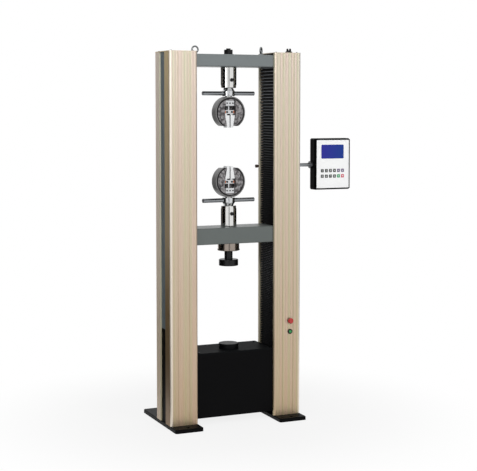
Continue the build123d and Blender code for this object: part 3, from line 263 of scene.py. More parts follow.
# %% Strips
black_strip = finish("black_strip", "#070809", 0.45, grain=1.5, lift=0.02, Specular_IOR_Level=0.03)
dress(black_strip, "side_strips_lower")
grey_strip = finish("grey_strip", "#5f6d75", 0.4, 0.2, grain=1.5, stretch=(1, 1, 0.02), lift=0.01)
dress(grey_strip, "side_strips_upper")

# %% [markdown]
# ## Painted steel
# Powder is blown on dry and melts in an oven, which leaves a fine peel that breaks up highlights.
# The crossheads have smoother sprayed enamel over a machined plate. Black paint under a white sky
# would mirror it as grey, so the blacks reflect very little.

# %% Paint
# powder coat: black with a fine peel, for the sheet metal
powder = finish(
    "black_powder_coat", "#060607", 0.45, grain=1.3, tone=0.25, lift=0.04, Specular_IOR_Level=0.06,
)
dress(powder, "feet", "base_front_cover", "base_rear_cover", "console_bracket")
# the top plate is coated a shade paler, a softer black
top_coat = finish(
    "base_top_coat", "#131415", 0.5, grain=1.3, tone=0.15, lift=0.04, Specular_IOR_Level=0.01,
)
dress(top_coat, "base_top_plate")
# primer on rough steel inside the base: dull and uneven
primed = finish("primed_steel", "#2a2c2f", 0.5, 0.1, grain=2.5, lift=0.05)
dress(primed, "base_pedestals", "base_beam", "motor_bracket")
# sprayed enamel: smooth, with a trace of metal flake that gives it a cool sheen
enamel = finish("grey_enamel", "#5f6563", 0.38, 0.15, grain=1.8, tone=0.05, lift=0.02)
dress(enamel, "moving_crosshead")
top_enamel = finish("top_enamel", "#727879", 0.38, 0.15, grain=1.8, tone=0.05, lift=0.02)
dress(top_enamel, "top_crosshead")
# enamel over a cast housing: the casting's skin shows through as a coarse grain
motor_enamel = finish("motor_enamel", "#24262a", 0.45, 0.2, grain=3.0, lift=0.08)
dress(motor_enamel, "gear_motor")

# %% [markdown]
# ## Bare and plated metal
# Turned parts carry rings round their axis, so their grain is squeezed along Z and drawn out
# across it. Ground flats have lines one way. Black oxide is steel darkened in a hot bath and oiled.

# %% Metal finishes
turned = (0.04, 0.04, 1.0)  # rings round an upright axis
drawn = (0.05, 1, 1)  # lines along X
# nickel plate is nearly a mirror
plate = finish("nickel_plate", "#dddddb", 0.08, 1.0, grain=0.9, stretch=turned, spread=0.03, lift=0.002)
# ground steel has lines that smear its reflections
ground = finish("ground_steel", "#d0d1d3", 0.24, 1.0, grain=0.7, stretch=drawn, lift=0.006)
# hard chrome is a cool mirror
chrome = finish("hard_chrome", "#c9ccd0", 0.1, 1.0, grain=0.9, stretch=turned, tone=0.03, lift=0.002)
# black oxide is dark and still glints on its turned edges
oxide = finish("black_oxide", "#101012", 0.32, 0.4, grain=0.9, stretch=turned, tone=0.2, lift=0.01)
# the lower platen is lapped and oiled, so it mirrors less than the other oxide pieces
oiled = finish(
    "oiled_oxide", "#0b0b0d", 0.38, grain=0.9, stretch=turned, lift=0.01, Specular_IOR_Level=0.08,
)
# hardened jaws are ground along their length and look almost white
jaw_steel = finish("jaw_steel", "#e9eaeb", 0.26, 0.9, grain=0.8, stretch=(1, 1, 0.05), lift=0.006)
# zinc plate on forged eyes is grey and a little grainy
zinc = finish("zinc_plate", "#8d9092", 0.34, 1.0, grain=1.6, tone=0.1, lift=0.03)
# the console's arm is plain drawn bar
steel_arm = finish("arm_steel", "#8e9194", 0.3, 1.0, grain=0.8, stretch=drawn, tone=0.1, lift=0.008)
# the load cell's steel is straw brown from its heat treatment
cell_steel = finish("load_cell_steel", "#9a8f86", 0.2, 1.0, grain=0.9, stretch=turned, lift=0.006)
# turned aluminium is paler and softer than steel
pulley_metal = finish("pulley_aluminium", "#b9bcc0", 0.3, 1.0, grain=0.9, stretch=turned, lift=0.01)

# %% Bare metal pieces
for grip in ("lower", "upper"):
    dress(plate, f"{grip}_grip_adapter")
    dress(ground, f"{grip}_grip_guide_block", f"{grip}_grip_draw_bar")
    dress(oxide, f"{grip}_grip_cross_pin")
    dress(jaw_steel, f"{grip}_grip_jaw_left", f"{grip}_grip_jaw_right")
dress(cell_steel, "load_cell")
dress(ground, "ball_nuts_and_bushes", "screw_bearings")
dress(chrome, "guide_columns", "ball_screw_left", "ball_screw_right")
dress(oxide, "upper_platen", "draw_bolt")
dress(oiled, "lower_platen")
dress(zinc, "eye_bolts")
dress(steel_arm, "console_arm")
dress(pulley_metal, "drive_pulley", "screw_pulleys_left", "screw_pulley_right")

# %% [markdown]
# ## Collars
# A collar is turned bright, while its two handles are drawn bars with a darker skin. They are one
# CAD piece, so the distance from the collar's axis tells them apart: what lies past the collar's
# radius of 35 mm is a handle.

# %% Collars
collar_radius, collar_edge = 35.2 * mm, 35.8 * mm


def collar_steel(grip):
    """Bright steel near the collar's axis and darker steel on its handles."""
    low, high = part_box(f"{grip}_grip_collar")
    steel = finish(f"{grip}_collar_steel", "#d6d8da", 0.18, 1.0, grain=0.9, stretch=turned, lift=0.008)
    tree, colour, base, place = opened(steel)
    shifted = {0: place, 1: (low + high) / 2}
    shifted = add(tree, "ShaderNodeVectorMath", shifted, operation="SUBTRACT").outputs[0]
    level = add(tree, "ShaderNodeMapping", {"Vector": shifted, "Scale": (1, 1, 0)}).outputs["Vector"]
    reach = add(tree, "ShaderNodeVectorMath", {0: level}, operation="LENGTH").outputs["Value"]
    reach = {"Value": reach, "From Min": collar_radius, "From Max": collar_edge}
    reach = add(tree, "ShaderNodeMapRange", reach).outputs["Result"]
    darker = {0: reach, 6: base, 7: linear("#8b8e91")}
    tree.links.new(add(tree, "ShaderNodeMix", darker, data_type="RGBA").outputs[2], colour)
    return steel


for grip in ("lower", "upper"):
    dress(collar_steel(grip), f"{grip}_grip_collar")

# %% [markdown]
# ## Grip bodies
# A grip's body is phosphated steel that has been handled: pale blotches about 16 mm wide on dark
# grey. Near its face's edge a black ring is painted shade for a groove, with a bright rim outside
# it. The distance from the face's centre places both rings exactly, which a painted texture couldn't.

# %% Grip bodies
blotches_per_metre = 62.0
# the black ring is painted shade for a groove, and the grey one is a brighter rim
rings = ((0.85, "#0c0b0c"), (0.93, "#7b7a7a"))  # shares of the radius where a ring starts
ring_edge = 0.008


def grip_steel(grip, up):
    """Blotched phosphate on a grip's face, with a black ring of painted shade near its edge and a bright
    rim.
    """
    low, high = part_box(f"{grip}_grip_body")
    radius = (high.x - low.x) / 2
    center = high.z - radius if up < 0 else low.z + radius
    steel = finish(f"{grip}_grip_steel", "#454244", 0.4, 0.35, grain=2.4, tone=0.3, lift=0.04)
    tree, socket, base, place = opened(steel)
    blots = {"Vector": place, "Scale": blotches_per_metre, "Detail": 4.0}
    blots = add(tree, "ShaderNodeTexNoise", blots).outputs["Fac"]
    blots = {"Value": blots, "From Min": 0.4, "From Max": 0.62}
    blots = add(tree, "ShaderNodeMapRange", blots).outputs["Result"]
    pale = {0: blots, 6: base, 7: linear("#999697")}
    colour = add(tree, "ShaderNodeMix", pale, data_type="RGBA").outputs[2]
    spot = add(tree, "ShaderNodeSeparateXYZ", {0: place}).outputs
    level = add(tree, "ShaderNodeMath", {0: spot["Z"], 1: center}, operation="SUBTRACT").outputs[0]
    flat = add(tree, "ShaderNodeCombineXYZ", {"X": spot["X"], "Z": level}).outputs[0]
    reach = add(tree, "ShaderNodeVectorMath", {0: flat}, operation="LENGTH").outputs["Value"]
    for start, code in rings:
        inside = {"Value": reach, 1: (start - ring_edge) * radius, 2: start * radius}
        inside = add(tree, "ShaderNodeMapRange", inside).outputs["Result"]
        colour = {0: inside, 6: colour, 7: linear(code)}
        colour = add(tree, "ShaderNodeMix", colour, data_type="RGBA").outputs[2]
    tree.links.new(colour, socket)
    return steel


dress(grip_steel("lower", 1), "lower_grip_body")
dress(grip_steel("upper", -1), "upper_grip_body")

# %% [markdown]
# ## Plastics and rubber
# Moulded plastic copies the spark-eroded grain of its mould. The buttons are polished instead,
# and the belts are matte rubber.

# %% Plastics
# moulded nylon: dull, with a little sheen
nylon = finish("black_nylon", "#121214", 0.4, grain=0.8, tone=0.12, lift=0.02, Specular_IOR_Level=0.25)
dress(nylon, "cable_glands", "button_bezels")
# a structured ABS case scatters light so much that it stays black
case = finish(
    "console_plastic", "#0a0b0c", 0.42, grain=0.9, tone=0.15, lift=0.03, Specular_IOR_Level=0.02,
)
dress(case, "console_shell", "console_bezel")
# bakelite is a brown resin with a mottle
bakelite = finish("brown_bakelite", "#3a2922", 0.35, grain=0.8, tone=0.2, lift=0.02)
dress(bakelite, "limit_knob")
# polished button caps have a clear skin over their colour
red_cap = finish("red_plastic", "#b3231f", 0.22, grain=2.0, tone=0.05, Coat_Weight=0.3)
dress(red_cap, "stop_button")
green_cap = finish("green_plastic", "#1f8a44", 0.22, grain=2.0, tone=0.05, Coat_Weight=0.3)
dress(green_cap, "start_button")
# the panel's polyester film is matte and even
panel_film = finish("panel_film", "#fbfcfc", 0.45, grain=0.6, tone=0.015, lift=0.01)
dress(panel_film, "console_panel")
# belt rubber is matte, with a woven back that shows as grain
rubber = finish("belt_rubber", "#161616", 0.7, grain=0.6, tone=0.15, lift=0.05)
dress(rubber, "toothed_belts")

# %% [markdown]
# ## Display
# The display is a glossy blue filter over a backlight, brighter in one half than in the other. A
# little emission stands for the backlight, so the console needs no lamp inside.

# %% Display
glazing = {"Coat_Weight": 0.15, "Specular_IOR_Level": 0.1, "Emission_Strength": 0.12}
display_window = finish("display_window", "#1f307f", 0.16, grain=0.5, tone=0.06, **glazing)
tree, socket, _, place = opened(display_window)
across = add(tree, "ShaderNodeSeparateXYZ", {0: place}).outputs["X"]
screen_low, screen_high = (corner.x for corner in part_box("console_screen"))
shift = {"Value": across, "From Min": screen_low, "From Max": screen_high}
shift = add(tree, "ShaderNodeMapRange", shift).outputs["Result"]
backlight = {0: shift, 6: linear("#2a2a8c"), 7: linear("#173684")}
backlight = add(tree, "ShaderNodeMix", backlight, data_type="RGBA").outputs[2]
tree.links.new(backlight, socket)
tree.links.new(backlight, socket.node.inputs["Emission Color"])
dress(display_window, "console_screen")

# %% [markdown]
# ## Keys
# The twelve keys are one CAD piece, so the finish picks each key's colour from where it stands.
# Only the last two columns differ: violet grey for up and down, green for run and red for stop.

# %% Keys
key_size, key_gap_half = 18 * mm, 4 * mm
key_low, key_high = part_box("console_keys")
key_step = (key_high.x - key_low.x - key_size) / 5
fifth = key_low.x + 4 * key_step - key_gap_half
middle = (key_low.z + key_high.z) / 2


def choose(tree, where, edge, low, high):
    """Take one colour below an edge of a coordinate and another above it."""
    past = add(tree, "ShaderNodeMath", {0: where, 1: edge}, operation="GREATER_THAN").outputs[0]
    return add(tree, "ShaderNodeMix", {0: past, 6: low, 7: high}, data_type="RGBA").outputs[2]


# key film is a printed membrane with a soft sheen
key_film = finish("key_film", "#3b3f3d", 0.4, grain=0.8, tone=0.08, lift=0.01)
tree, socket, _, place = opened(key_film)
spot = add(tree, "ShaderNodeSeparateXYZ", {0: place}).outputs
lower_pair = choose(tree, spot["X"], fifth + key_step, linear("#2f9a63"), linear("#d0586b"))
pair = choose(tree, spot["Z"], middle, lower_pair, linear("#6a5f7a"))
key_colour = choose(tree, spot["X"], fifth, linear("#3b3f3d"), pair)
tree.links.new(key_colour, socket)
dress(key_film, "console_keys")
print(f"keys stand {key_step / mm:.1f} mm apart")

# %% [markdown]
# ## Key legends
# A membrane key carries its sign as a thin printed patch. The signs are plain digits, arrows for
# up and down, a triangle for run and a square for stop. Digits are text curves turned into meshes,
# and the other signs are small prisms of three or four sides.

# %% Shapes of the signs
half_ink = 0.1 * mm  # half of a sign's thickness


def kept(name, mesh, material):
    """Keep a bmesh as an object with one finish."""
    data = bpy.data.meshes.new(name)
    mesh.to_mesh(data)
    mesh.free()
    data.materials.append(material)
    piece = bpy.data.objects.new(name, data)
    scene.collection.objects.link(piece)
    return piece


def digit_mesh(sign, size):
    """A digit as a thin mesh in the XZ plane, centred on its own middle."""
    curve = bpy.data.curves.new("digit", "FONT")
    curve.body, curve.size, curve.extrude = sign, size, half_ink
    curve.align_x, curve.align_y = "CENTER", "CENTER"
    holder = bpy.data.objects.new("digit", curve)
    scene.collection.objects.link(holder)
    data = bpy.data.meshes.new_from_object(holder.evaluated_get(bpy.context.evaluated_depsgraph_get()))
    bpy.data.objects.remove(holder)
    data.transform(Matrix.Rotation(math.radians(90), 4, "X"))
    return data


def prism_mesh(sides, radius, turn):
    """A thin prism in the XZ plane with one corner turned by an angle from the Z axis."""
    size = {"segments": sides, "radius1": radius, "radius2": radius, "depth": 2 * half_ink}
    mesh = bmesh.new()
    bmesh.ops.create_cone(mesh, cap_ends=True, **size)
    data = bpy.data.meshes.new("prism")
    mesh.to_mesh(data)
    mesh.free()
    upright = Matrix.Rotation(math.radians(90), 4, "X")
    data.transform(upright @ Matrix.Rotation(math.radians(turn), 4, "Z"))
    return data


# %% Signs on the keys
digit_height = 14 * mm
prisms = {  # sides, radius and turn in degrees
    "up": (3, 4.2 * mm, 0),
    "down": (3, 4.2 * mm, 180),
    "run": (3, 4.6 * mm, -90),
    "stop": (4, 5.0 * mm, 45),
}
rows = (("1", "2", "3", "4", "up", "down"), ("5", "6", "7", "8", "run", "stop"))
signs = bmesh.new()
for row, names in enumerate(rows):
    top = key_high.z if row == 0 else key_low.z + key_size
    for column, sign in enumerate(names):
        data = prism_mesh(*prisms[sign]) if sign in prisms else digit_mesh(sign, digit_height)
        x = key_low.x + key_size / 2 + column * key_step
        z = top - key_size / 2
        data.transform(Matrix.Translation((x, key_low.y - half_ink, z)))
        signs.from_mesh(data)
        bpy.data.meshes.remove(data)
# screen ink is matte and slightly raised
sign_ink = finish("sign_ink", "#e9ebe8", 0.5, grain=0.4, tone=0.04)
key_signs = kept("key_signs", signs, sign_ink)
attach(key_signs, "console")
print("key signs", len(key_signs.data.polygons), "faces")

# %% [markdown]
# ## Geometry trees
# Screws, jaw teeth, pleats and threads all repeat one idea along a rule, so geometry nodes make
# them: a tree takes some places and a few named lengths and returns the shape. Every tree starts
# and ends alike. The result becomes a plain mesh, one for each body, and its modifiers go.


# %% Starting and ending a tree
def moved(tree, shape, x=0.0, y=0.0, z=0.0):
    """A shape moved by lengths that may be other nodes' outputs."""
    offset = add(tree, "ShaderNodeCombineXYZ", {"X": x, "Y": y, "Z": z}).outputs[0]
    return add(tree, "GeometryNodeTransform", {"Geometry": shape, "Translation": offset}).outputs[0]


def new_tree(name, lengths):
    """An empty tree with a geometry input, named lengths and a finish."""
    tree = bpy.data.node_groups.new(name, "GeometryNodeTree")
    tree.interface.new_socket("Places", in_out="INPUT", socket_type="NodeSocketGeometry")
    for label in lengths:
        tree.interface.new_socket(label, in_out="INPUT", socket_type="NodeSocketFloat")
    tree.interface.new_socket("Finish", in_out="INPUT", socket_type="NodeSocketMaterial")
    tree.interface.new_socket("Made", in_out="OUTPUT", socket_type="NodeSocketGeometry")
    return tree, add(tree, "NodeGroupInput").outputs


def end_tree(tree, shape, finish_socket):
    """Realize the instances and set the finish."""
    real = add(tree, "GeometryNodeRealizeInstances", {0: shape}).outputs[0]
    done = add(tree, "GeometryNodeSetMaterial", {"Geometry": real, "Material": finish_socket}).outputs[0]
    add(tree, "NodeGroupOutput", {"Made": done})


# %% Growing a tree into a mesh
def grow(name, mesh, tree, values, body=None, wall=0.0):
    """Run a geometry tree on a mesh, give it a wall, keep the plain mesh and let it ride on a body."""
    holder = bpy.data.objects.new(name + "_places", mesh)
    scene.collection.objects.link(holder)
    modifier = holder.modifiers.new("made", "NODES")
    modifier.node_group = tree
    sockets = {item.name: item.identifier for item in tree.interface.items_tree if item.in_out == "INPUT"}
    for label, amount in values.items():
        modifier[sockets[label]] = amount
    if wall:
        skin = holder.modifiers.new("wall", "SOLIDIFY")
        skin.thickness, skin.offset = wall, -1.0
    data = bpy.data.meshes.new_from_object(holder.evaluated_get(bpy.context.evaluated_depsgraph_get()))
    holder.modifiers.clear()
    bpy.data.objects.remove(holder)
    piece = bpy.data.objects.new(name, data)
    scene.collection.objects.link(piece)
    if body:
        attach(piece, body)
    print(f"{name:24} {len(data.polygons)} faces")
    return piece


# %% [markdown]
# ## Bellows
# The screws turn inside pleated covers of coated fabric, one pair below the crosshead and one pair
# above it. A pleat stands out at its crest and in at its valley, so a tree sweeps a rectangle with
# round corners along an upright line and scales it at each point. The line carries two numbers: the
# girth there, and a share that the finish shows as a paler crest, partly wear and partly painted
# highlight. The swept skin gets the wall of a real cloth.
#
# The lower cover is cut into bands of whole pleats at given shares of its length, and the upper
# cover is made whole.

# %% Bellows cloth
# coated fabric is matte, and its crests turn pale grey, partly from wear and partly as painted highlight
cloth = finish(
    "bellows_cloth", "#08090b", 0.55, grain=0.7, tone=0.2, lift=0.03, Specular_IOR_Level=0.02,
)
crest_power = 5.0  # keeps the grey to the very crests
tree, socket, base, _ = opened(cloth)
wear_highlight_share = add(tree, "ShaderNodeAttribute", attribute_name="wear_and_highlight").outputs["Fac"]
wear_highlight_share = add(tree, "ShaderNodeMath", {0: wear_highlight_share, 1: crest_power}, operation="POWER").outputs[0]
wear_and_highlight = {0: wear_highlight_share, 6: base, 7: linear("#b4b8bc")}
tree.links.new(add(tree, "ShaderNodeMix", wear_and_highlight, data_type="RGBA").outputs[2], socket)
print("bellows cloth", len(tree.nodes), "nodes")

# %% Pleat tree
pleat_tree, given = new_tree("pleats", ("Width", "Depth", "Corner"))
outline = {"Width": given["Width"], "Height": given["Depth"]}
outline = add(pleat_tree, "GeometryNodeCurvePrimitiveQuadrilateral", outline).outputs[0]
outline = {"Curve": outline, "Count": 4, "Radius": given["Corner"]}
outline = add(pleat_tree, "GeometryNodeFilletCurve", outline, mode="POLY").outputs[0]
upright = add(pleat_tree, "GeometryNodeMeshToCurve", {"Mesh": given["Places"]}).outputs[0]
girth = add(pleat_tree, "GeometryNodeInputNamedAttribute", {"Name": "girth"}).outputs["Attribute"]
swept = {"Curve": upright, "Profile Curve": outline, "Scale": girth, "Fill Caps": False}
end_tree(pleat_tree, add(pleat_tree, "GeometryNodeCurveToMesh", swept).outputs["Mesh"], given["Finish"])
print("pleat tree", len(pleat_tree.nodes), "nodes")


# %% Pleated covers
cover_low, cover_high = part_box("bellows_lower")
cover_width, cover_depth = 82 * mm, cover_high.y - cover_low.y
cover_corner, cloth_wall = 12 * mm, 1.1 * mm
cover_x, cover_y = cover_high.x - cover_width / 2, (cover_low.y + cover_high.y) / 2
print(f"covers {cover_width / mm:.0f} by {cover_depth / mm:.0f} mm, {cover_x / mm:.0f} mm off the middle")


def pleated_cover(name, levels):
    """A pair of covers over levels that each give a height, a girth and a share of wear and painted
    highlight.
    """
    line = bpy.data.meshes.new(name)
    points = [(side * cover_x, cover_y, level[0]) for side in (-1, 1) for level in levels]
    count = len(levels)
    line.from_pydata(points, [(i, i + 1) for i in range(2 * count - 1) if i != count - 1], [])
    for label, item in (("girth", 1), ("wear_and_highlight", 2)):
        numbers = line.attributes.new(label, "FLOAT", "POINT").data
        numbers.foreach_set("value", [level[item] for level in levels] * 2)
    sizes = {"Width": cover_width, "Depth": cover_depth, "Corner": cover_corner, "Finish": cloth}
    cover = grow(name, line, pleat_tree, sizes, wall=cloth_wall)
    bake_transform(cover)
    return cover


# %% Levels of the pleats
valley = 0.76  # the girth in a valley, a share of the girth at a crest
lip = 0.12  # half of a crest's flat, a share of the pitch
# how pale each level of a pleat is: partly wear and partly painted highlight
lower_lip_wear_highlight, upper_lip_wear_highlight, crest_wear_highlight = 0.6, 1.0, 0.3
least_wear_highlight, paleness_rise = 0.55, 1.6  # crests are palest in the upper part


def step_place(share):
    """Where between 0 and 1 the smooth step reaches a share."""
    low, high = 0.0, 1.0
    for _ in range(40):
        middle = (low + high) / 2
        if middle * middle * (3 - 2 * middle) < share:
            low = middle
        else:
            high = middle
    return low


def pleat_levels(low, high, pitches):
    """Crest and valley levels from low to high. The pitch runs from the first value to the last."""
    first, last = pitches
    count = round((high - low) / ((first + last) / 2))
    steps = [first + (last - first) * i / (count - 1) for i in range(count)]
    scale = (high - low) / sum(steps)
    levels = [(low, 1.0, 0.0)]
    z = low
    for step in steps:
        step *= scale
        # the paleness, partly wear and partly painted highlight, rises with height
        wear_highlight_share = least_wear_highlight + (1 - least_wear_highlight) * min(1.0, paleness_rise * (z - low) / (high - low))
        levels.append((z + lip * step, 1.0, lower_lip_wear_highlight * wear_highlight_share))
        levels.append((z + 0.5 * step, valley, 0.0))
        levels.append((z + (1 - lip) * step, 1.0, upper_lip_wear_highlight * wear_highlight_share))
        z += step
        levels.append((z, 1.0, crest_wear_highlight * wear_highlight_share))
    return levels


print(f"the smooth step reaches a quarter at {step_place(0.25):.3f}")

# %% Lower covers in bands, upper covers whole
lower_pitches = (10.2 * mm, 9.8 * mm)  # lowest and highest pleat
upper_pitches = (8.5 * mm, 18.5 * mm)
heights = [0.0, 0.1, 0.3, 0.5, 0.7, 0.9, 1.0]  # where the bands end
shares = [0.0, 0.05, 0.275, 0.5, 0.725, 0.95, 1.0]  # one for each end of a band
lower_levels = pleat_levels(cover_low.z, cover_high.z, lower_pitches)
pleats = (len(lower_levels) - 1) // 4  # four levels make a pleat
for band in range(len(shares) - 1):
    picks = [round(height * pleats) * 4 for height in heights[band:band + 2]]
    rows = lower_levels[picks[0]:picks[1] + 1]
    cover = pleated_cover(f"lower_bellows_{band + 1}", rows)
    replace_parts(cover, "bellows_lower")
upper_low, upper_high = (corner.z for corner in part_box("bellows_upper"))
upper_levels = pleat_levels(upper_low, upper_high, upper_pitches)
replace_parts(pleated_cover("upper_bellows", upper_levels), "bellows_upper")
print("pleats below", pleats, "above", (len(upper_levels) - 1) // 4)

# %% [markdown]
# ## Small repeated pieces
# Cap screws and jaw teeth are one small piece on many places. A tree puts an item on every vertex
# of a small mesh and turns it to the direction stored there. A cap screw is a cylinder with a
# broken edge and a hexagonal socket cut into it, and a tooth is a pyramid.


# %% Items on places
def places(points, facing):
    """A mesh of loose vertices that all carry the same facing."""
    data = bpy.data.meshes.new("places")
    data.from_pydata([Vector(point) for point in points], [], [])
    attribute = data.attributes.new("facing", "FLOAT_VECTOR", "POINT")
    for item in attribute.data:
        item.vector = facing
    return data


def spread(tree, given, item):
    """Put an item on every place, its Z along the place's facing, and close the tree."""
    facing = add(tree, "GeometryNodeInputNamedAttribute", {"Name": "facing"}, data_type="FLOAT_VECTOR")
    facing = {"Vector": facing.outputs["Attribute"]}
    turn = add(tree, "FunctionNodeAlignRotationToVector", facing, axis="Z").outputs[0]
    copies = {"Points": given["Places"], "Instance": item, "Rotation": turn}
    end_tree(tree, add(tree, "GeometryNodeInstanceOnPoints", copies).outputs[0], given["Finish"])


# %% Screw tree
# The rim is a cone on the head, and it starts a little inside it, so that the two shapes cut each
# other cleanly. Each number is a share of the head's radius or height.
rim_shares = {"Start Radius": 0.985, "Start Height": 0.98, "Top Radius": 0.86, "Rim Height": 0.14}
screw_tree, given = new_tree("cap_screws", ("Head Radius", "Head Height", "Socket Radius"))
height = given["Head Height"]
rim = {}
for label, share in rim_shares.items():
    length = {0: height if "Height" in label else given["Head Radius"], 1: share}
    rim[label] = add(screw_tree, "ShaderNodeMath", length, operation="MULTIPLY").outputs[0]
middle = add(screw_tree, "ShaderNodeMath", {0: height, 1: 0.5}, operation="MULTIPLY").outputs[0]
head = {"Vertices": 24, "Radius": given["Head Radius"], "Depth": height}
head = moved(screw_tree, add(screw_tree, "GeometryNodeMeshCylinder", head).outputs["Mesh"], z=middle)
cone = {
    "Vertices": 24, "Radius Bottom": rim["Start Radius"], "Radius Top": rim["Top Radius"],
    "Depth": rim["Rim Height"],
}
cone = add(screw_tree, "GeometryNodeMeshCone", cone).outputs["Mesh"]
bit = {"Vertices": 6, "Radius": given["Socket Radius"], "Depth": height}
bit = moved(screw_tree, add(screw_tree, "GeometryNodeMeshCylinder", bit).outputs["Mesh"], z=height)
whole = add(screw_tree, "GeometryNodeMeshBoolean", {"Mesh 2": head}, operation="UNION")
screw_tree.links.new(moved(screw_tree, cone, z=rim["Start Height"]), whole.inputs["Mesh 2"])
cut = {"Mesh 1": whole.outputs["Mesh"], "Mesh 2": bit}
screw = add(screw_tree, "GeometryNodeMeshBoolean", cut, operation="DIFFERENCE").outputs["Mesh"]
spread(screw_tree, given, screw)
print("screw tree", len(screw_tree.nodes), "nodes")

# %% Tooth tree
half_diagonal = 0.7  # a square's half diagonal over its side, so that the teeth nearly touch
tooth_tree, given = new_tree("jaw_teeth", ("Tooth Width", "Tooth Height"))
foot = {0: given["Tooth Width"], 1: half_diagonal}
foot = add(tooth_tree, "ShaderNodeMath", foot, operation="MULTIPLY").outputs[0]
cone = {"Vertices": 4, "Radius Bottom": foot, "Radius Top": 0.0, "Depth": given["Tooth Height"]}
spread(tooth_tree, given, add(tooth_tree, "GeometryNodeMeshCone", cone).outputs["Mesh"])
print("tooth tree", len(tooth_tree.nodes), "nodes")


# %% Cap screws
# most screws are blackened, and those on the column caps and grip faces are bright steel
screw_steel = finish("screw_steel", "#1e1f21", 0.32, 0.7, grain=0.6, tone=0.15, lift=0.01)
bright_steel = finish("bright_screw_steel", "#b9bbbd", 0.25, 1.0, grain=0.6, tone=0.1, lift=0.01)
head_height, socket_radius = 0.7, 0.55  # shares of the head's radius


def cap_screws(name, points, facing, radius, body, material):
    """Cap screws of one size on one body."""
    sizes = {"Head Radius": radius, "Head Height": head_height * radius}
    sizes |= {"Socket Radius": socket_radius * radius, "Finish": material}
    return grow(name, places(points, facing), screw_tree, sizes, body)


# %% [markdown]
# ## Where the screws go
# Screws sit where a fitter can reach them and where they hold something. Their places come from
# the boxes of the pieces they clamp, so they sit on the metal and follow a change of size.

# %% Screws on the frame
column_middle, cap_reach = 305 * mm, 62 * mm  # a cap's screws stand to both sides of its column's middle
plate_inset, plate_x = 20 * mm, 205 * mm
cover_inset, cover_columns = 13 * mm, (212 * mm, 75 * mm)


def ends(node, axis, inset):
    """The two levels that lie an inset in from both ends of a piece's box along one axis."""
    low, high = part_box(node)
    return low[axis] + inset, high[axis] - inset


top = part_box("column_caps")[1].z
spots = [
    (side * (column_middle + dx), y, top)
    for side in (-1, 1) for dx in (-cap_reach, cap_reach) for y in ends("column_caps", 1, plate_inset)
]
cap_screws("column_cap_screws", spots, (0, 0, 1), 5 * mm, "frame", bright_steel)
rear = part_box("base_rear_cover")[1].y
spots = [
    (side * x, rear, z)
    for side in (-1, 1) for x in cover_columns for z in ends("base_rear_cover", 2, cover_inset)
]
cap_screws("rear_cover_screws", spots, (0, 1, 0), 4.5 * mm, "frame", screw_steel)
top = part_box("base_top_plate")[1].z
spots = [(side * plate_x, y, top) for side in (-1, 1) for y in ends("base_top_plate", 1, plate_inset)]
cap_screws("base_plate_screws", spots, (0, 0, 1), 5 * mm, "frame", screw_steel)

# %% Screws on the console
hinge_face, hinge_inset, back_inset = 6 * mm, 7 * mm, 18 * mm
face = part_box("console_bracket")[0].x + hinge_face
spots = [
    (face, y, z)
    for y in ends("console_bracket", 1, hinge_inset) for z in ends("console_bracket", 2, hinge_inset)
]
cap_screws("hinge_screws", spots, (1, 0, 0), 3.5 * mm, "frame", screw_steel)
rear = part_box("console_shell")[1].y
spots = [
    (x, rear, z)
    for x in ends("console_shell", 0, back_inset) for z in ends("console_shell", 2, back_inset)
]
cap_screws("console_back_screws", spots, (0, 1, 0), 3.5 * mm, "console", screw_steel)

# %% [markdown]
# ## Grips
# Each wedge grip has a T-shaped draw bar that pulls two jaws along a sloping slot. Bronze pads on
# the ends of the bar keep steel from rubbing on steel, and two screws hold the bar to its stem. The
# jaws' faces carry rows of little pyramids that bite into a specimen.

# %% Bronze pads
# bronze is a warm brown metal
bronze = finish("bronze", "#c4704a", 0.32, 0.85, grain=0.9, tone=0.12, lift=0.01)
crosspiece = 20 * mm  # height of the bar's crosspiece
pad_width, pad_height, pad_overlap = 6 * mm, 15 * mm, 4 * mm
pad_set_in, pad_edge = 2.5 * mm, 1.6 * mm


def bronze_pads(name, bar, up):
    """Caps over both ends of the draw bar's crosspiece."""
    low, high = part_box(bar)
    foot = low.z if up < 0 else high.z - crosspiece
    mesh = bmesh.new()
    for side in (-1, 1):
        made = bmesh.ops.create_cube(mesh, size=1.0)["verts"]
        middle = (side * (high.x - pad_set_in), (low.y + high.y) / 2, foot + crosspiece / 2)
        size = Matrix.Diagonal((pad_width, high.y - low.y + pad_overlap, pad_height, 1.0))
        bmesh.ops.transform(mesh, matrix=Matrix.Translation(middle) @ size, verts=made)
    bmesh.ops.bevel(
        mesh, geom=mesh.edges[:], offset=pad_edge, segments=3, affect="EDGES", profile=0.5,
    )
    piece = kept(name, mesh, bronze)
    return piece


print(f"bronze pads {pad_width / mm:.0f} by {pad_height / mm:.0f} mm")

# %% Jaw teeth
tooth_pitch, tooth_height, tooth_inset = 2.4 * mm, 0.5 * mm, 6 * mm
rows, columns = 24, 17


def jaw_faces(name, node, side, body):
    """Rows of pyramids on the gripping face of one jaw."""
    low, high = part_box(node)
    face = high.x if side < 0 else low.x
    reach = (rows - 1) * tooth_pitch
    start = low.z + tooth_inset if name.startswith("upper") else high.z - tooth_inset - reach
    first = (low.y + high.y) / 2 - (columns - 1) / 2 * tooth_pitch
    points = [
        (face, first + column * tooth_pitch, start + row * tooth_pitch)
        for row in range(rows) for column in range(columns)
    ]
    sizes = {"Tooth Width": tooth_pitch, "Tooth Height": tooth_height, "Finish": jaw_steel}
    grow(name, places(points, (-side, 0, 0)), tooth_tree, sizes, body)


print("teeth on each jaw", rows * columns)

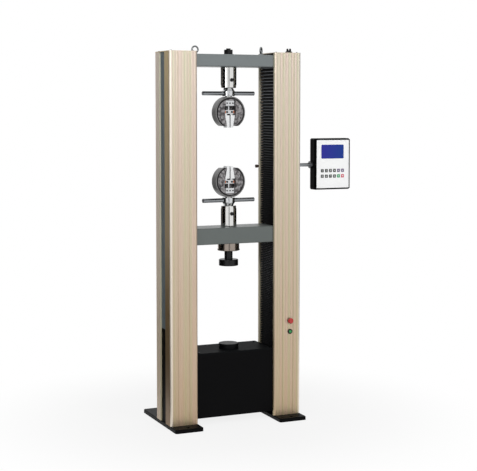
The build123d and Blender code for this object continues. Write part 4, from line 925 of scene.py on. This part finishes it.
# %% Screws, pads and teeth of both grips
face_middle = 85 * mm  # from a body's closed end to the middle of its four screws
face_x, face_z = 52 * mm, 30 * mm
guide_step = 17 * mm
bar_x, bar_inset = 14 * mm, 10 * mm
for grip, up, carrier in (("lower", 1, "crosshead"), ("upper", -1, "frame")):
    face_low, face_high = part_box(f"{grip}_grip_body")
    center = face_low.z + face_middle if up > 0 else face_high.z - face_middle
    spots = [(x, face_low.y, center + z) for x in (-face_x, face_x) for z in (-face_z, face_z)]
    cap_screws(f"{grip}_face_screws", spots, (0, -1, 0), 3.5 * mm, carrier, bright_steel)
    block_low, block_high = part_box(f"{grip}_grip_guide_block")
    middle = (block_low.z + block_high.z) / 2
    spots = [(x, block_low.y, middle) for x in (-guide_step, 0.0, guide_step)]
    cap_screws(f"{grip}_guide_screws", spots, (0, -1, 0), 3.8 * mm, carrier, screw_steel)
    bar_low, bar_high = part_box(f"{grip}_grip_draw_bar")
    level = bar_high.z - bar_inset if up > 0 else bar_low.z + bar_inset
    spots = [(x, bar_low.y, level) for x in (-bar_x, bar_x)]
    cap_screws(f"{grip}_bar_screws", spots, (0, -1, 0), 5.2 * mm, f"{grip}_draw_bar", screw_steel)
    pads = bronze_pads(f"{grip}_bronze_pads", f"{grip}_grip_draw_bar", up)
    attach(pads, f"{grip}_draw_bar")
    for side, word in ((-1, "left"), (1, "right")):
        jaw_faces(f"{grip}_jaw_{word}_teeth", f"{grip}_grip_jaw_{word}", side, f"{grip}_jaw_{word}")

# %% [markdown]
# ## Thread on the draw stud
# The stud that holds the upper grip ends in a thread above its nut. A thread is a helix, so a
# geometry tree draws a spiral and sweeps a small round profile along it.

# %% Thread
lengths = ("Turns", "Coil Radius", "Rise", "Wire Radius", "Start Y", "Start Z")
coil_tree, given = new_tree("coil", lengths)
spiral = {
    "Resolution": 24, "Rotations": given["Turns"], "Start Radius": given["Coil Radius"],
    "End Radius": given["Coil Radius"], "Height": given["Rise"],
}
path = add(coil_tree, "GeometryNodeCurveSpiral", spiral).outputs["Curve"]
section = {"Resolution": 6, "Radius": given["Wire Radius"]}
section = add(coil_tree, "GeometryNodeCurvePrimitiveCircle", section).outputs["Curve"]
swept = {"Curve": path, "Profile Curve": section, "Fill Caps": True}
coil = add(coil_tree, "GeometryNodeCurveToMesh", swept).outputs["Mesh"]
coil = moved(coil_tree, coil, y=given["Start Y"], z=given["Start Z"])
end_tree(coil_tree, coil, given["Finish"])
bolt_low, bolt_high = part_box("draw_bolt")
thread = {"Turns": 8.0, "Rise": 11 * mm}  # eight turns show above the nut
thread |= {"Coil Radius": 11.8 * mm, "Wire Radius": 0.6 * mm, "Finish": screw_steel}
thread |= {"Start Y": (bolt_low.y + bolt_high.y) / 2, "Start Z": bolt_high.z - 12.5 * mm}
grow("stud_thread", bpy.data.meshes.new("nothing"), coil_tree, thread, "frame")

# %% [markdown]
# ## Floor
# The photograph has a bare white ground. The floor is lit like any floor, but camera, glossy and
# glass rays see mostly plain white there, so it stays pale and keeps a faint shadow that fades out
# further off.

# %% Floor
scene.view_settings.view_transform = "Standard"
floor_reach = 30.0
fade_start, fade_end, least_white = 0.5, 1.6, 0.84  # metres from the middle, and the white's share


def flat_sheet(name, corners, material):
    """A flat four-cornered sheet that belongs to the stage."""
    data = bpy.data.meshes.new(name)
    data.from_pydata(corners, [], [(0, 1, 2, 3)])
    data.materials.append(material)
    sheet = bpy.data.objects.new(name, data)
    scene.collection.objects.link(sheet)
    return sheet


def backdrop_rays(tree):
    """1 for rays that look at the backdrop itself or at its mirror image."""
    path = add(tree, "ShaderNodeLightPath").outputs
    seen = {0: path["Is Camera Ray"], 1: path["Is Glossy Ray"]}
    seen = add(tree, "ShaderNodeMath", seen, operation="MAXIMUM").outputs[0]
    seen = {0: seen, 1: path["Is Transmission Ray"]}
    return add(tree, "ShaderNodeMath", seen, operation="MAXIMUM").outputs[0]


floor_paint = bpy.data.materials.new("floor_paint")
floor_paint.use_nodes = True
tree = floor_paint.node_tree
tree.nodes.clear()
paint = add(tree, "ShaderNodeBsdfDiffuse", {"Color": linear("#d8d8d8")}).outputs[0]
glow = add(tree, "ShaderNodeEmission", {"Color": (1, 1, 1, 1), "Strength": 1.0}).outputs[0]
place = add(tree, "ShaderNodeTexCoord").outputs["Object"]
far = add(tree, "ShaderNodeVectorMath", {0: place}, operation="LENGTH").outputs["Value"]
far = {"Value": far, "From Min": fade_start, "From Max": fade_end, "To Min": least_white}
far = add(tree, "ShaderNodeMapRange", far, interpolation_type="SMOOTHSTEP").outputs["Result"]
share = add(tree, "ShaderNodeMath", {0: backdrop_rays(tree), 1: far}, operation="MULTIPLY").outputs[0]
mix = add(tree, "ShaderNodeMixShader", {0: share, 1: paint, 2: glow}).outputs[0]
add(tree, "ShaderNodeOutputMaterial", {"Surface": mix})
turns = ((-1, -1), (1, -1), (1, 1), (-1, 1))
flat_sheet("floor", [(x * floor_reach, y * floor_reach, 0) for x, y in turns], floor_paint)
print("floor", 2 * floor_reach, "m wide")

# %% [markdown]
# ## Dark cards
# Polished metal needs something dark to mirror, or it looks like white plaster, so a photographer
# puts black cards round the object. Only reflections see these.

# %% Dark cards
card_black = finish("card_black", "#050505", 0.9, grain=5.0)
cards = {
    "left": [(-2.2, -1.1, 0.0), (-2.2, 5.4, 0.0), (-2.2, 5.4, 2.6), (-2.2, -1.1, 2.6)],
    "right": [(2.2, -1.8, 0.0), (2.2, 3.2, 0.0), (2.2, 3.2, 2.6), (2.2, -1.8, 2.6)],
    "front": [(-1.35, -4.0, 0.0), (-0.65, -4.0, 0.0), (-0.65, -4.0, 3.0), (-1.35, -4.0, 3.0)],
    "above": [(-1.6, -4.2, 3.2), (1.6, -4.2, 3.2), (1.6, -1.0, 3.2), (-1.6, -1.0, 3.2)],
    "below": [(-2.2, -1.1, 0.002), (-0.65, -1.1, 0.002), (-0.65, 5.4, 0.002), (-2.2, 5.4, 0.002)],
}
for where, corners in cards.items():
    card = flat_sheet(f"dark_card_{where}", corners, card_black)
    card.visible_camera = False
    card.visible_diffuse = False
    card.visible_shadow = False
print("dark cards", list(cards))

# %% [markdown]
# ## World and lamps
# Light comes softly from above and in front. The white surroundings light the machine only a
# little, while the camera and mirrors see them at full strength. Two lamps on the left are mirrored
# by the metal and draw its bright bands, and the others only fill.

# %% World
surround_light = 0.24  # how strongly the white surroundings light the machine
world = bpy.data.worlds.new("studio")
world.use_nodes = True
scene.world = world
tree = world.node_tree
back = tree.nodes["Background"]
back.inputs["Color"].default_value = (1, 1, 1, 1)
strength = {"Value": backdrop_rays(tree), "To Min": surround_light, "To Max": 1.0}
strength = add(tree, "ShaderNodeMapRange", strength).outputs["Result"]
tree.links.new(strength, back.inputs["Strength"])
print("world", len(tree.nodes), "nodes")


# %% Lamps
def soft_light(name, place, target, size, watts, mirrored=True):
    """A square area light that faces a target. Metal mirrors it only where mirrored says so."""
    lamp = bpy.data.lights.new(name, "AREA")
    lamp.shape = "SQUARE"
    lamp.size = size
    lamp.energy = watts
    holder = bpy.data.objects.new(name, lamp)
    scene.collection.objects.link(holder)
    holder.location = place
    holder.rotation_euler = (Vector(target) - Vector(place)).to_track_quat("-Z", "Y").to_euler()
    holder.visible_glossy = mirrored
    print(name, watts, "W")


soft_light("key", (-1.5, -3.3, 3.5), (0, 0, 1.5), 1.6, 66)
soft_light("front_fill", (1.4, -4.8, 2.5), (0, 0, 1.2), 2.2, 88, mirrored=False)
soft_light("left_fill", (-3.4, -1.6, 1.9), (-0.3, 0, 1.1), 1.0, 13)
soft_light("top", (0.3, 0.4, 4.4), (0, 0, 1.5), 2.0, 26, mirrored=False)
soft_light("rear_fill", (1.7, 4.6, 2.3), (0, 0, 1.2), 2.2, 55, mirrored=False)

# %% [markdown]
# ## Camera
# The place, direction and focal length come from a fit of the columns, the feet and the console to
# the photograph. The camera stood to the left, a little above the middle of the machine, and the
# picture was cut lower than the lens looked, which the small shift repeats.

# %% Camera
focal_pixels, picture_width, sensor_width = 1238.7, 477, 36.0  # pixels, pixels, millimetres
tilt_down, turn_right = 4.11, 23.62  # degrees
lens = bpy.data.cameras.new("camera")
lens.lens = focal_pixels / picture_width * sensor_width
lens.shift_y = -0.08
lens.clip_end = 100
camera = bpy.data.objects.new("camera", lens)
scene.collection.objects.link(camera)
camera.location = (-2.660, -6.286, 1.717)
camera.rotation_euler = (math.radians(90 - tilt_down), 0, math.radians(-turn_right))
scene.camera = camera
print(f"lens {lens.lens:.1f} mm, {camera.location.length:.1f} m from the origin")
